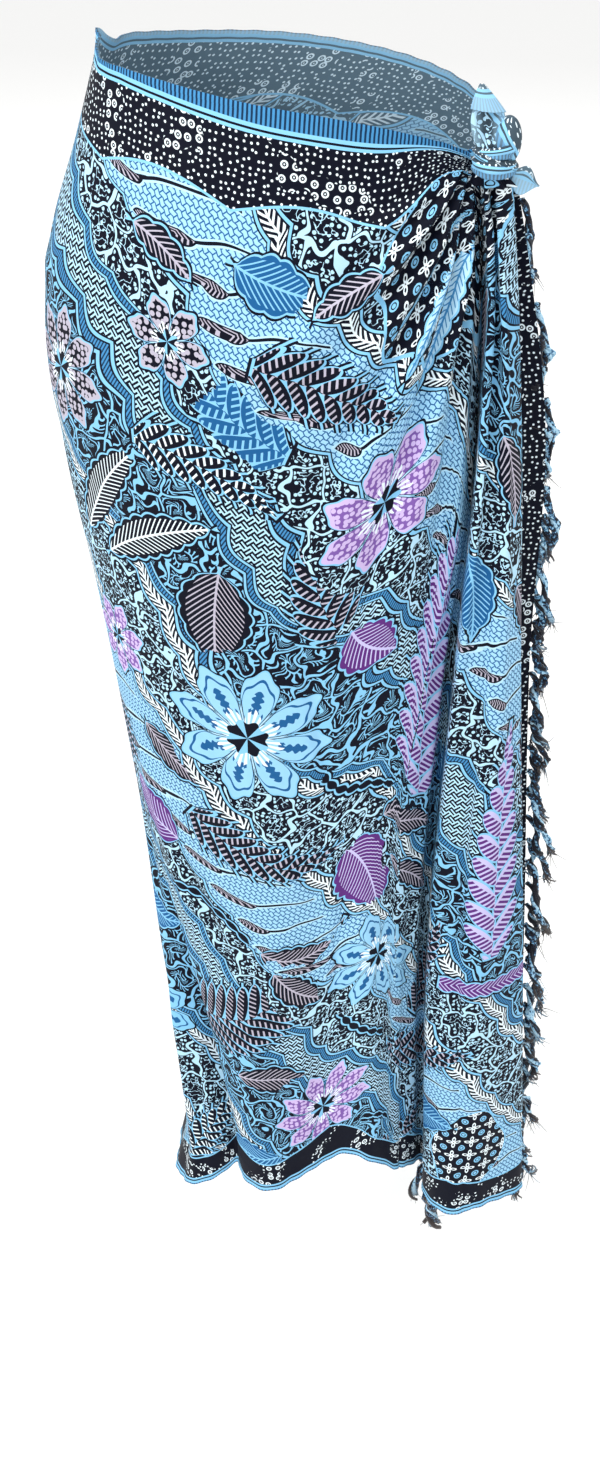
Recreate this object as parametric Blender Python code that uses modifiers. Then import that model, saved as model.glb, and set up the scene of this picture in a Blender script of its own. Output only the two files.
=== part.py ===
"""A sarong tied as a long wrap skirt: one rectangle of thin batik cloth, wound once round a waist and knotted
at the left hip. It stands open and filled out, as it is worn. Blender units are metres, +Z up, and the front
of the skirt faces -Y. The origin is the middle of the waist, where the wearer holds the cloth up.

The cloth is one strip, cut here into the stretches that show. Seen from above and followed along the cloth,
they are: under_end, back_panel, front_panel, front_end. Both ends carry a knotted fringe.
"""

import math

import bmesh
import bpy
import numpy as np

MILLIMETRE = 0.001

# Cloth. An edge sharper than SHARP_EDGE degrees is shaded as an edge. SEAM is the gap between two stretches,
# and SEAM_STEP how narrow the first column after it is.
WALL = 0.0016
SHARP_EDGE = 50.0
SEAM = 0.0003
SEAM_STEP = 0.3

# Where the front and the back panel start and stop, in degrees round the body. 180 is the left side seen from
# the front, 270 the middle of the front and 90 the middle of the back.
LEFT_SIDE = 180.0
BACK_STOP = 8.0

# The hanging tube. height: above the waist. left, right, front, back: how far the cloth lies from the
# vertical line through the origin. front_stop: the angle where the front panel turns in under the knot.
BODY_COLUMNS = ("height", "left", "right", "front", "back", "front_stop")
BODY = (
    (0.030, 0.111, 0.111, 0.080, 0.081, 333.0),
    (-0.040, 0.132, 0.130, 0.098, 0.098, 328.0),
    (-0.100, 0.152, 0.146, 0.111, 0.117, 323.5),
    (-0.170, 0.161, 0.155, 0.117, 0.126, 319.5),
    (-0.250, 0.154, 0.156, 0.115, 0.122, 317.0),
    (-0.350, 0.139, 0.150, 0.108, 0.110, 312.5),
    (-0.500, 0.121, 0.140, 0.096, 0.100, 306.5),
    (-0.650, 0.105, 0.134, 0.083, 0.095, 307.5),
    (-0.800, 0.090, 0.132, 0.070, 0.092, 310.0),
    (-0.880, 0.090, 0.134, 0.064, 0.092, 311.0),
    (-0.970, 0.107, 0.136, 0.060, 0.094, 312.0),
)

# The two long edges of the cloth, by the share of the way from the left side to the knot.
EDGE_COLUMNS = ("share", "top", "hem")
FRONT_EDGES = (
    (0.00, 0.018, -0.953),
    (0.06, 0.012, -0.951),
    (0.25, 0.009, -0.936),
    (0.36, 0.006, -0.921),
    (0.43, 0.003, -0.910),
    (0.55, -0.003, -0.912),
    (0.65, -0.008, -0.909),
    (0.78, -0.017, -0.892),
    (0.86, -0.024, -0.880),
    (0.94, -0.032, -0.892),
    (1.00, -0.040, -0.911),
)
BACK_EDGES = (
    (0.00, 0.018, -0.953),
    (0.10, 0.013, -0.957),
    (0.30, 0.006, -0.962),
    (0.55, 0.000, -0.966),
    (0.80, -0.012, -0.960),
    (1.00, -0.026, -0.955),
)

# Long folds that hang in the tube. at_top and at_hem: where the fold lies, as a share of the way along its
# panel. start: the height where it begins. width: as a share. depth: outwards, in metres. FOLD_GROWTH: how
# soon a fold has its whole depth.
FOLD_GROWTH = 1.6
FOLD_COLUMNS = ("name", "at_top", "at_hem", "start", "width", "depth")
FRONT_FOLDS = (
    ("side_ridge", 0.04, 0.27, -0.50, 0.085, 0.009),
    ("side_crease", 0.12, 0.425, -0.50, 0.045, -0.015),
    ("shin_roll", 0.44, 0.60, -0.62, 0.090, 0.010),
    ("thigh_dip", 0.76, 0.80, -0.40, 0.070, -0.006),
    ("knee_roll", 0.90, 0.915, -0.45, 0.050, 0.007),
)
BACK_FOLDS = (
    ("seat_side", 0.20, 0.17, -0.36, 0.055, 0.010),
    ("seat_dip", 0.31, 0.29, -0.40, 0.050, -0.009),
    ("centre_roll", 0.47, 0.45, -0.30, 0.060, 0.013),
    ("centre_dip", 0.60, 0.59, -0.34, 0.050, -0.010),
    ("hip_roll", 0.73, 0.75, -0.28, 0.060, 0.012),
    ("hip_dip", 0.86, 0.88, -0.30, 0.045, -0.009),
)

# Gathers that spread from the knot over the front. lean: degrees below the level, at the knot. reach and
# depth: metres. spread: half width in degrees. They sag by GATHER_SAG degrees for each metre, rise over
# GATHER_ROOT metres and fade over the last GATHER_FADE of their reach. FRONT_ARC: how far the front is round.
GATHER_COLUMNS = ("lean", "reach", "spread", "depth")
GATHERS = (
    (14.0, 0.17, 5.5, 0.0035),
    (28.0, 0.30, 6.0, 0.0055),
    (43.0, 0.24, 6.0, 0.0045),
    (57.0, 0.34, 5.5, 0.0065),
    (70.0, 0.36, 5.0, 0.0060),
)
GATHER_SAG = 40.0
GATHER_FADE = 0.6
GATHER_ROOT = 0.085
FRONT_ARC = 0.40

# The end that falls outside, from the knot. Each row is a level section, seen from above, in millimetres from
# the origin: its height in metres, then x and y of the named points, in the order that the cloth runs.
FRONT_END_POINTS = ("wall", "valley", "ridge", "crease", "face", "fold", "tuck", "turn", "strip", "edge")
FRONT_END = (
    (-0.053, (114.5, -55), (117, -56), (118.5, -74), (122.5, -66), (127, -75),
     (135, -69), (133, -62), (128, -59.5), (132, -54), (139, -56)),
    (-0.110, (119, -65), (120.5, -61), (122.5, -88), (126.5, -79), (132, -87),
     (141, -77), (138, -69), (131, -65), (138, -57), (151, -58)),
    (-0.200, (120, -69), (123.5, -62), (122, -93), (129, -86), (139, -92),
     (149, -78), (146, -68), (137, -63), (149, -54), (167, -53)),
    (-0.400, (105, -66), (116.5, -49), (116, -80), (131, -83), (147, -86),
     (163, -66), (159, -54), (140, -49), (153, -38), (173, -37)),
    (-0.650, (96, -50), (109, -33), (108.5, -62), (126, -73), (150, -78),
     (181.5, -54), (176.5, -41), (145, -36), (161, -24), (187, -28)),
    (-0.950, (103, -32), (117.5, -13), (117, -48), (139, -70), (166, -62),
     (201, -41), (196, -26), (151, -20), (169, -6), (202, -12)),
)
FRONT_END_EDGES = (
    (0.00, -0.0400, -0.911),
    (0.10, -0.0470, -0.920),
    (0.20, -0.0550, -0.934),
    (0.30, -0.0545, -0.940),
    (0.40, -0.0540, -0.942),
    (0.50, -0.0540, -0.938),
    (0.60, -0.0540, -0.943),
    (0.80, -0.0540, -0.948),
    (1.00, -0.0540, -0.950),
)

# The end that lies underneath, from the right hip to its own fringed edge.
UNDER_END_POINTS = ("hip", "round", "tuck", "edge")
UNDER_END = (
    (-0.020, (129, -10), (125, -28), (117, -39), (106, -43)),
    (-0.090, (144, -10), (139, -32), (127, -46), (111, -52)),
    (-0.200, (153, -10), (145, -33), (127, -45), (107, -50)),
    (-0.400, (146, -5), (137, -20), (121, -26), (102, -27)),
    (-0.650, (133, -2), (130, -9), (123, -12), (110, -12)),
    (-0.970, (139, 2), (140, -2), (140, -6), (137, -10)),
)
UNDER_END_EDGES = (
    (0.00, -0.0260, -0.955),
    (0.50, -0.0330, -0.962),
    (1.00, -0.0400, -0.982),
)

# The knot. Its core is the gathered corner that comes up through the band and opens into the upper tip. Each
# row is a level section: height above the knot's middle, half width, half depth, how far it leans to the
# right and to the back, and how deep its flutes are as a share of its size.
KNOT = (0.1215, -0.0710, -0.0340)
CORE_COLUMNS = ("height", "half_wide", "half_deep", "right", "back", "flute")
CORE = (
    (-0.0192, 0.0142, 0.0108, 0.0010, 0.0020, 0.10),
    (-0.0130, 0.0122, 0.0096, -0.0005, 0.0000, 0.10),
    (-0.0060, 0.0108, 0.0085, 0.0000, 0.0000, 0.07),
    (0.0020, 0.0104, 0.0082, -0.0005, 0.0000, 0.05),
    (0.0100, 0.0106, 0.0076, -0.0020, -0.0005, 0.06),
    (0.0160, 0.0104, 0.0064, -0.0038, -0.0010, 0.07),
    (0.0230, 0.0108, 0.0050, -0.0048, -0.0018, 0.06),
    (0.0300, 0.0090, 0.0038, -0.0052, -0.0028, 0.04),
    (0.0360, 0.0056, 0.0028, -0.0054, -0.0036, 0.02),
    (0.0405, 0.0016, 0.0012, -0.0056, -0.0042, 0.00),
)
CORE_FLUTES = 7
CORE_TWIST = 40.0
CORE_STEPS = 28

# The band wound round the core, and how it swells where the second corner is tucked through it.
BAND_INSIDE = (0.0124, 0.0098)
BAND_THICK = 0.0058
BAND_HEIGHT = 0.0195
BAND_SINK = 0.0010
BAND_TILT = 0.16
SWELL_AT = 28.0
SWELL_SPREAD = 42.0
SWELL_HEIGHT = 0.0125
SWELL_THICK = 0.0016
SWELL_LIFT = 0.0056
BAND_STEPS = 32
BAND_SECTION = 10

# The side tip, from inside the band outwards: place from the knot's middle, half height and half thickness.
TIP_COLUMNS = ("right", "back", "up", "half_high", "half_thick")
TIP = (
    (0.0145, 0.0020, -0.0050, 0.0050, 0.0022),
    (0.0185, 0.0030, -0.0075, 0.0068, 0.0024),
    (0.0235, 0.0042, -0.0108, 0.0074, 0.0022),
    (0.0285, 0.0052, -0.0150, 0.0046, 0.0018),
    (0.0325, 0.0058, -0.0188, 0.0012, 0.0009),
)
TIP_STEPS = 10

# Fringe: one lock for each knotted bunch of threads. The strip that holds them is parted from the cloth's
# edge. Lengths and hang differ from lock to lock, by LOCK_UNEVEN as a share and LOCK_SPREAD in degrees; the
# two beats are how fast they change along the edge.
LOCK_PITCH = 0.0218
STRIP_WIDE = 0.0030
STRIP_THICK = 0.0022
LOCK_LONG = 0.056
LOCK_UNEVEN = 0.22
LOCK_SWAY = 0.0060
SWAY_BY = 0.6
LOCK_SPREAD = 5.0
LENGTH_BEAT = 2.4
SPREAD_BEAT = 1.7

# A lock from its root to its tip: share of the length, half thickness, and how steeply it hangs in degrees.
LOCK = (
    (0.00, 0.0016, 34.0),
    (0.14, 0.0021, 66.0),
    (0.60, 0.0016, 78.0),
    (1.00, 0.0012, 80.0),
)

# How far the locks of the front fringe turn towards the back, in degrees, by height. Under the knot they hang
# behind the cloth.
TURN_COLUMNS = ("height", "turn")
FRONT_FRINGE_TURN = (
    (-0.05, 84.0),
    (-0.22, 80.0),
    (-0.34, 50.0),
    (-0.46, 14.0),
    (-0.72, 18.0),
    (-0.84, 62.0),
    (-0.95, 86.0),
)
UNDER_FRINGE_TURN = (
    (-0.05, 0.0),
    (-0.70, -45.0),
    (-0.98, -75.0),
)

CLOTH_BLUE = (0.10, 0.28, 0.52, 1.0)
FRINGE_BLUE = (0.06, 0.13, 0.26, 1.0)


def smooth(xs, ys, at):
    """A cubic curve through the points (xs, ys) with xs rising, read at the values of at."""
    xs = np.asarray(xs, float)
    ys = np.asarray(ys, float)
    at = np.clip(at, xs[0], xs[-1])
    slope = np.gradient(ys, xs)
    i = np.clip(np.searchsorted(xs, at) - 1, 0, len(xs) - 2)
    step = xs[i + 1] - xs[i]
    t = (at - xs[i]) / step
    low = (1 + 2 * t) * (1 - t) ** 2 * ys[i] + t * (1 - t) ** 2 * step * slope[i]
    high = t * t * (3 - 2 * t) * ys[i + 1] - t * t * (1 - t) * step * slope[i + 1]
    return low + high


def column(rows, columns, name, at):
    """The named column of a table whose first column is what at measures."""
    ordered = sorted(rows)
    k = columns.index(name)
    return smooth([row[0] for row in ordered], [row[k] for row in ordered], at)


def named(columns, rows):
    """The rows of a table, each with its columns by name."""
    return [dict(zip(columns, row)) for row in rows]


def eased(value):
    """0 below 0, 1 above 1, and a smooth step between."""
    t = np.clip(value, 0.0, 1.0)
    return t * t * (3 - 2 * t)


def ring_point(angle, height):
    """x, y of the tube at an angle in degrees, and the way outwards there: an ellipse with its own half width
    on each side."""
    c = np.cos(np.radians(angle))
    s = np.sin(np.radians(angle))
    wide = np.where(
        c < 0,
        column(BODY, BODY_COLUMNS, "left", height),
        column(BODY, BODY_COLUMNS, "right", height),
    )
    deep = np.where(
        s < 0,
        column(BODY, BODY_COLUMNS, "front", height),
        column(BODY, BODY_COLUMNS, "back", height),
    )
    out_x, out_y = c / wide, s / deep
    size = np.hypot(out_x, out_y)
    return wide * c, deep * s, out_x / size, out_y / size


def hanging_folds(folds, share, height, hem):
    """How far the long folds push the cloth outwards: one soft bump for each row, growing from its start."""
    push = np.zeros_like(height)
    for fold in named(FOLD_COLUMNS, folds):
        down = np.clip((fold["start"] - height) / (fold["start"] - hem), 0.0, 1.0)
        centre = fold["at_top"] + (fold["at_hem"] - fold["at_top"]) * down
        bump = np.exp(-(((share - centre) / fold["width"]) ** 2))
        push += fold["depth"] * eased(FOLD_GROWTH * down) * bump
    return push


def knot_gathers(share, height):
    """How far the gathers push the front outwards: ridges along rays from the knot, which sag as they go."""
    along = (1.0 - share) * FRONT_ARC
    drop = FRONT_EDGES[-1][1] - height
    away = np.hypot(along, drop)
    lean = np.degrees(np.arctan2(drop, along + 1e-6))
    push = np.zeros_like(height)
    for gather in named(GATHER_COLUMNS, GATHERS):
        ray = gather["lean"] + GATHER_SAG * away
        fade = eased(away / GATHER_ROOT) * eased((1.0 - away / gather["reach"]) / GATHER_FADE)
        push += gather["depth"] * fade * np.exp(-(((lean - ray) / gather["spread"]) ** 2))
    return push


def front_panel_points(share, down):
    """The front panel: share is 0 at the left side and 1 under the knot, down is 0 at the top edge and 1 at
    the hem."""
    top = column(FRONT_EDGES, EDGE_COLUMNS, "top", share)
    hem = column(FRONT_EDGES, EDGE_COLUMNS, "hem", share)
    height = top + (hem - top) * down
    stop = column(BODY, BODY_COLUMNS, "front_stop", height)
    x, y, out_x, out_y = ring_point(LEFT_SIDE + share * (stop - LEFT_SIDE), height)
    push = hanging_folds(FRONT_FOLDS, share, height, hem) + knot_gathers(share, height)
    return np.stack([x + push * out_x, y + push * out_y, height], axis=-1)


def back_panel_points(share, down):
    """The back panel: share 0 at the left side and 1 at the right hip."""
    top = column(BACK_EDGES, EDGE_COLUMNS, "top", share)
    hem = column(BACK_EDGES, EDGE_COLUMNS, "hem", share)
    height = top + (hem - top) * down
    x, y, out_x, out_y = ring_point(LEFT_SIDE - share * (LEFT_SIDE - BACK_STOP), height)
    push = hanging_folds(BACK_FOLDS, share, height, hem)
    return np.stack([x + push * out_x, y + push * out_y, height], axis=-1)


def seam_line(points, height):
    """Where a sheet's last column lies at a height, and the level way in which the sheet runs there."""
    edge = points[::-1, -1]
    run = points[::-1, -1] - points[::-1, -2]
    spot = [np.interp(height, edge[:, 2], edge[:, k]) for k in (0, 1)]
    way = [np.interp(height, edge[:, 2], run[:, k]) for k in (0, 1)]
    size = np.hypot(way[0], way[1])
    return np.array(spot), np.array([way[0] / size, way[1] / size])


def section_points(before, names, rows, edges, share, down):
    """An end of the cloth, from the last column of the sheet before it: a smooth curve through the named
    points of each level section, which themselves follow smooth curves from the knot to the hem."""
    top = column(edges, EDGE_COLUMNS, "top", share)
    hem = column(edges, EDGE_COLUMNS, "hem", share)
    height = top + (hem - top) * down
    ordered = sorted(rows)
    levels = [row[0] for row in ordered]
    count = len(names)
    start, way = seam_line(before, height)
    marks = [start]
    for k in range(count):
        marks.append(
            [smooth(levels, [row[1 + k][axis] * MILLIMETRE for row in ordered], height) for axis in (0, 1)]
        )
    marks = np.array(marks)
    slope = np.gradient(marks, axis=0)
    slope[0] = way * np.linalg.norm(marks[1] - marks[0], axis=0)
    at = np.clip(share * count, 0.0, count - 1e-9)
    i = np.floor(at).astype(int)
    t = at - i
    rows_at, columns_at = np.indices(share.shape)
    spot = []
    for axis in (0, 1):
        here = marks[i, axis, rows_at, columns_at]
        there = marks[i + 1, axis, rows_at, columns_at]
        go = slope[i, axis, rows_at, columns_at]
        come = slope[i + 1, axis, rows_at, columns_at]
        spot.append(
            (1 + 2 * t) * (1 - t) ** 2 * here
            + t * (1 - t) ** 2 * go
            + t * t * (3 - 2 * t) * there
            - t * t * (1 - t) * come
        )
    return np.stack([spot[0], spot[1], height], axis=-1)


def grid(columns, rows):
    """Two arrays, share and down, for a sheet with these columns and rows."""
    return np.meshgrid(columns, rows, indexing="xy")


def spaced(count, crowd=0.0):
    """count steps from 0 to 1, crowded towards 0 by a positive crowd and towards 1 by a negative one."""
    t = np.linspace(0.0, 1.0, count + 1)
    return t + crowd * (t * t - t)


def from_seam(count):
    """count steps from 0 to 1 and a narrow first one, so that the cloth leaves its seam straight."""
    return np.insert(np.linspace(0.0, 1.0, count + 1), 1, SEAM_STEP / count)


def trimmed(points, first, last):
    """The sheet's first and last columns pulled back along the cloth, for the seam gaps."""
    out = points.copy()
    if first:
        step = points[:, 1] - points[:, 0]
        out[:, 0] += first * step / np.linalg.norm(step, axis=-1, keepdims=True)
    if last:
        step = points[:, -2] - points[:, -1]
        out[:, -1] += last * step / np.linalg.norm(step, axis=-1, keepdims=True)
    return out


def cloth_material(name, colour):
    material = bpy.data.materials.new(name)
    material.use_nodes = True
    shader = material.node_tree.nodes["Principled BSDF"]
    shader.inputs["Base Color"].default_value = colour
    shader.inputs["Roughness"].default_value = 0.75
    shader.inputs["Metallic"].default_value = 0.0
    return material


def add_object(name, mesh, material):
    """A named object in the sarong's collection."""
    mesh.materials.append(material)
    item = bpy.data.objects.new(name, mesh)
    bpy.data.collections["sarong"].objects.link(item)
    return item


def sheet_object(name, points, material, flip=False):
    """A wall of cloth on a grid of points, with its faces outwards."""
    high, wide = points.shape[:2]
    index = np.arange(high * wide).reshape(high, wide)
    faces = np.stack([index[:-1, :-1], index[1:, :-1], index[1:, 1:], index[:-1, 1:]], axis=-1).reshape(-1, 4)
    if flip:
        faces = faces[:, ::-1]
    mesh = bpy.data.meshes.new(name)
    mesh.from_pydata(points.reshape(-1, 3).tolist(), [], faces.tolist())
    item = add_object(name, mesh, material)
    wall = item.modifiers.new("wall", "SOLIDIFY")
    wall.thickness = WALL
    wall.offset = 0.0
    mesh.shade_smooth()
    mesh.set_sharp_from_angle(angle=math.radians(SHARP_EDGE))
    return item


def loft_object(name, rings, material):
    """A closed solid through rings of points, with flat ends."""
    mesh = bpy.data.meshes.new(name)
    shape = bmesh.new()
    loops = [[shape.verts.new(point) for point in ring] for ring in rings]
    for low, high in zip(loops[:-1], loops[1:]):
        for k in range(len(low)):
            n = (k + 1) % len(low)
            shape.faces.new((low[k], low[n], high[n], high[k]))
    shape.faces.new(loops[0][::-1])
    shape.faces.new(loops[-1])
    bmesh.ops.recalc_face_normals(shape, faces=shape.faces)
    shape.to_mesh(mesh)
    shape.free()
    item = add_object(name, mesh, material)
    mesh.shade_smooth()
    mesh.set_sharp_from_angle(angle=math.radians(SHARP_EDGE))
    return item


def core_rings():
    """Level rings of the knot's core, fluted like gathered cloth."""
    turn = np.linspace(0.0, 2 * math.pi, CORE_STEPS, endpoint=False)
    rings = []
    for row in named(CORE_COLUMNS, CORE):
        swell = 1.0 + row["flute"] * np.cos(CORE_FLUTES * turn + CORE_TWIST * row["height"])
        x = KNOT[0] + row["right"] + row["half_wide"] * swell * np.cos(turn)
        y = KNOT[1] + row["back"] + row["half_deep"] * swell * np.sin(turn)
        z = np.full_like(turn, KNOT[2] + row["height"])
        rings.append(np.stack([x, y, z], axis=-1))
    return rings


def band_object(material):
    """The wound band: an oval section carried round the core, taller and thicker where it swells."""
    turn = np.linspace(0.0, 2 * math.pi, BAND_STEPS, endpoint=False)[:, None]
    section = np.linspace(0.0, 2 * math.pi, BAND_SECTION, endpoint=False)[None, :]
    off = (np.degrees(turn) - SWELL_AT + 180.0) % 360.0 - 180.0
    swell = np.exp(-((off / SWELL_SPREAD) ** 2))
    half_thick = 0.5 * (BAND_THICK + SWELL_THICK * swell)
    half_high = 0.5 * (BAND_HEIGHT + SWELL_HEIGHT * swell)
    reach = half_thick * (1.0 + np.cos(section))
    x = KNOT[0] + (BAND_INSIDE[0] + reach) * np.cos(turn)
    y = KNOT[1] + (BAND_INSIDE[1] + reach) * np.sin(turn)
    rise = SWELL_LIFT * swell - BAND_TILT * (x - KNOT[0]) - BAND_SINK
    z = KNOT[2] + rise + half_high * np.sin(section)
    points = np.stack([x, y, z], axis=-1)
    index = np.arange(BAND_STEPS * BAND_SECTION).reshape(BAND_STEPS, BAND_SECTION)
    ahead = np.roll(index, -1, axis=0)
    faces = np.stack([index, ahead, np.roll(ahead, -1, axis=1), np.roll(index, -1, axis=1)], axis=-1)
    mesh = bpy.data.meshes.new("knot_band")
    mesh.from_pydata(points.reshape(-1, 3).tolist(), [], faces.reshape(-1, 4).tolist())
    mesh.shade_smooth()
    return add_object("knot_band", mesh, material)


def tip_rings():
    """Rings of the side tip, each square to the way the tip runs."""
    rows = named(TIP_COLUMNS, TIP)
    centres = np.array([[row["right"], row["back"], row["up"]] for row in rows]) + np.array(KNOT)
    run = np.gradient(centres, axis=0)
    run /= np.linalg.norm(run, axis=1, keepdims=True)
    turn = np.linspace(0.0, 2 * math.pi, TIP_STEPS, endpoint=False)
    rings = []
    for centre, way, row in zip(centres, run, rows):
        across = np.cross(way, (0.0, 1.0, 0.0))
        across /= np.linalg.norm(across)
        thick = np.cross(across, way)
        high = row["half_high"] * np.cos(turn)[:, None] * across
        deep = row["half_thick"] * np.sin(turn)[:, None] * thick
        rings.append(centre + high + deep)
    return rings


def weld_on(target, tool):
    """Joins the tool to the target with a Boolean, and hides the tool."""
    bpy.data.collections["sarong"].objects.unlink(tool)
    bpy.data.collections["cutters"].objects.link(tool)
    tool.hide_render = True
    tool.display_type = "WIRE"
    join = target.modifiers.new("join_" + tool.name, "BOOLEAN")
    join.operation = "UNION"
    join.solver = "EXACT"
    join.object = tool


def lock_path(number):
    """Places along one lock: how far out, how far down and how far aside, with its half thickness and
    steepness. Three locks in turn sway to one side, hang straight and sway to the other, so that they stay
    apart."""
    share, half_thick, hang = np.array(LOCK).T
    length = LOCK_LONG * (1.0 + LOCK_UNEVEN * math.sin(LENGTH_BEAT * number))
    steep = np.radians(hang + LOCK_SPREAD * math.sin(SPREAD_BEAT * number))
    middle = 0.5 * (steep[1:] + steep[:-1])
    step = np.diff(share) * length
    out = np.concatenate([[0.0], np.cumsum(step * np.cos(middle))])
    down = np.concatenate([[0.0], np.cumsum(step * np.sin(middle))])
    aside = LOCK_SWAY * (number % 3 - 1) * eased(share / SWAY_BY)
    return list(zip(out, down, aside, half_thick, steep))


def fringe_frame(points, turns):
    """Reads a sheet's last column: a function of the height that gives the edge, the way out of the cloth,
    the way across it, and the level way in which a lock leaves."""
    edge = points[::-1, -1]
    way = points[::-1, -1] - points[::-1, -2]

    def at(height):
        spot = np.array([np.interp(height, edge[:, 2], edge[:, k]) for k in (0, 1)] + [height])
        out = np.array([np.interp(height, edge[:, 2], way[:, k]) for k in (0, 1)] + [0.0])
        out /= np.linalg.norm(out)
        across = np.array((-out[1], out[0], 0.0))
        turn = math.radians(float(column(turns, TURN_COLUMNS, "turn", height)))
        return spot, out, across, math.cos(turn) * out + math.sin(turn) * across

    return at


def fringe_object(name, points, turns, material):
    """A fringe along the last column of a sheet's points: a four-sided strip, and on its outer side a
    four-sided lock for each knotted bunch of threads."""
    at = fringe_frame(points, turns)
    top, hem = points[0, -1, 2], points[-1, -1, 2]
    count = int((top - hem) / LOCK_PITCH)
    first = top - 0.5 * (top - hem - (count - 1) * LOCK_PITCH)
    roots = [first - k * LOCK_PITCH for k in range(count)]
    half = LOCK[0][1]
    levels = [top] + [root + side * half for root in roots for side in (1, -1)] + [hem]

    shape = bmesh.new()
    rings = []
    for level in levels:
        spot, out, across, _ = at(level)
        inner = spot + SEAM * out
        outer = inner + STRIP_WIDE * out
        thick = 0.5 * STRIP_THICK * across
        corners = (inner - thick, outer - thick, outer + thick, inner + thick)
        rings.append([shape.verts.new(corner) for corner in corners])
    for k, (high, low) in enumerate(zip(rings[:-1], rings[1:])):
        for side in range(4):
            if side == 1 and k % 2 == 1:
                continue
            n = (side + 1) % 4
            shape.faces.new((high[side], high[n], low[n], low[side]))
    shape.faces.new(rings[0])
    shape.faces.new(rings[-1][::-1])

    for k, level in enumerate(roots):
        high, low = rings[2 * k + 1], rings[2 * k + 2]
        spot, out, _, leave = at(level)
        beside = np.array((-leave[1], leave[0], 0.0))
        root = spot + (SEAM + STRIP_WIDE) * out
        last = (high[1], high[2], low[2], low[1])
        for along, down, sway, thick, steep in lock_path(k)[1:]:
            centre = root + along * leave + sway * beside - np.array((0.0, 0.0, down))
            up = math.sin(steep) * leave + math.cos(steep) * np.array((0.0, 0.0, 1.0))
            ring = [
                shape.verts.new(centre + thick * (u * up + v * beside))
                for u, v in ((1, -1), (1, 1), (-1, 1), (-1, -1))
            ]
            for side in range(4):
                n = (side + 1) % 4
                shape.faces.new((last[side], last[n], ring[n], ring[side]))
            last = ring
        shape.faces.new(last)
    bmesh.ops.recalc_face_normals(shape, faces=shape.faces)
    mesh = bpy.data.meshes.new(name)
    shape.to_mesh(mesh)
    shape.free()
    return add_object(name, mesh, material)


for old in list(bpy.data.objects):
    bpy.data.objects.remove(old)
for name in ("sarong", "cutters"):
    bpy.context.scene.collection.children.link(bpy.data.collections.new(name))
bpy.data.collections["cutters"].hide_render = True

front_rows = spaced(26, 0.5)
back_rows = spaced(22, 0.3)
front = front_panel_points(*grid(spaced(43, -0.5), front_rows))
back = back_panel_points(*grid(spaced(32), back_rows))
front_end = section_points(
    front, FRONT_END_POINTS, FRONT_END, FRONT_END_EDGES, *grid(from_seam(36), front_rows)
)
under_end = section_points(
    back, UNDER_END_POINTS, UNDER_END, UNDER_END_EDGES, *grid(from_seam(9), back_rows)
)

front = trimmed(front, SEAM / 2, SEAM)
back = trimmed(back, SEAM / 2, SEAM / 2)
sheet_object("front_panel", front, cloth_material("front_cloth", CLOTH_BLUE))
sheet_object("back_panel", back, cloth_material("back_cloth", CLOTH_BLUE), flip=True)
sheet_object("front_end", trimmed(front_end, SEAM, 0.0), cloth_material("front_end_cloth", CLOTH_BLUE))
sheet_object(
    "under_end", trimmed(under_end, SEAM / 2, 0.0), cloth_material("under_end_cloth", CLOTH_BLUE), flip=True
)

loft_object("knot_core", core_rings(), cloth_material("knot_core_cloth", CLOTH_BLUE))
band = band_object(cloth_material("knot_band_cloth", CLOTH_BLUE))
weld_on(band, loft_object("side_tip", tip_rings(), band.data.materials[0]))

front_threads = cloth_material("front_fringe_threads", FRINGE_BLUE)
under_threads = cloth_material("under_fringe_threads", FRINGE_BLUE)
fringe_object("front_fringe", front_end, FRONT_FRINGE_TURN, front_threads)
fringe_object("under_fringe", under_end, UNDER_FRINGE_TURN, under_threads)
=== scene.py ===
# %% [markdown]
# # A knotted sarong in batik rayon
# A sarong is one long rectangle of thin cloth, wound once round the waist and tied at the hip. Both ends
# carry a fringe, and a wax-resist print covers all of it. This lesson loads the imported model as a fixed
# frame and builds the look of the real cloth round it: thin shells with fine gathers and a rolled hem, a
# knot of wound folds, a fringe of twisted threads, and one material that draws the whole print from flat
# cloth coordinates.

# %% Load the frame
import math

import bpy
import numpy as np
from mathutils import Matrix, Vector


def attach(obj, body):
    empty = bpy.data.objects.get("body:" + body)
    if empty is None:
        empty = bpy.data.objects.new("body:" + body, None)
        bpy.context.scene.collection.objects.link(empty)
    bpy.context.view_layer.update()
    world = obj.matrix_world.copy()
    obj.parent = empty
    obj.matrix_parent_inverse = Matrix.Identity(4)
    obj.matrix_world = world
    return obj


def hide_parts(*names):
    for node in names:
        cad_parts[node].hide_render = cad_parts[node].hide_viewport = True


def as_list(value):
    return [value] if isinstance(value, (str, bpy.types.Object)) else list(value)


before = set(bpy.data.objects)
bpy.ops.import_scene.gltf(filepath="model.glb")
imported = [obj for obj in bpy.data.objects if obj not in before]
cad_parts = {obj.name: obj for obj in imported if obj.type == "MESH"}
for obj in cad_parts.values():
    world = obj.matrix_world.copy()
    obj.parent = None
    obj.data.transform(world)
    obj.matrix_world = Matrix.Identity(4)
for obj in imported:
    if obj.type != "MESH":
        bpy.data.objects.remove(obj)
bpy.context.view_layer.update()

# %% [markdown]
# ## Camera
# The photograph was taken from in front, a little above the waist and looking down, close enough that the
# hem looks narrower than the hips. A camera is set by its place, its pitch and its lens. Here they were
# worked out from the height of the waist opening and of the hem in the picture.

# %% Camera
CAMERA_PLACE = (0.0077, -1.1536, 0.2575)
CAMERA_PITCH = 33.0
CAMERA_LENS = 44.08

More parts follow.
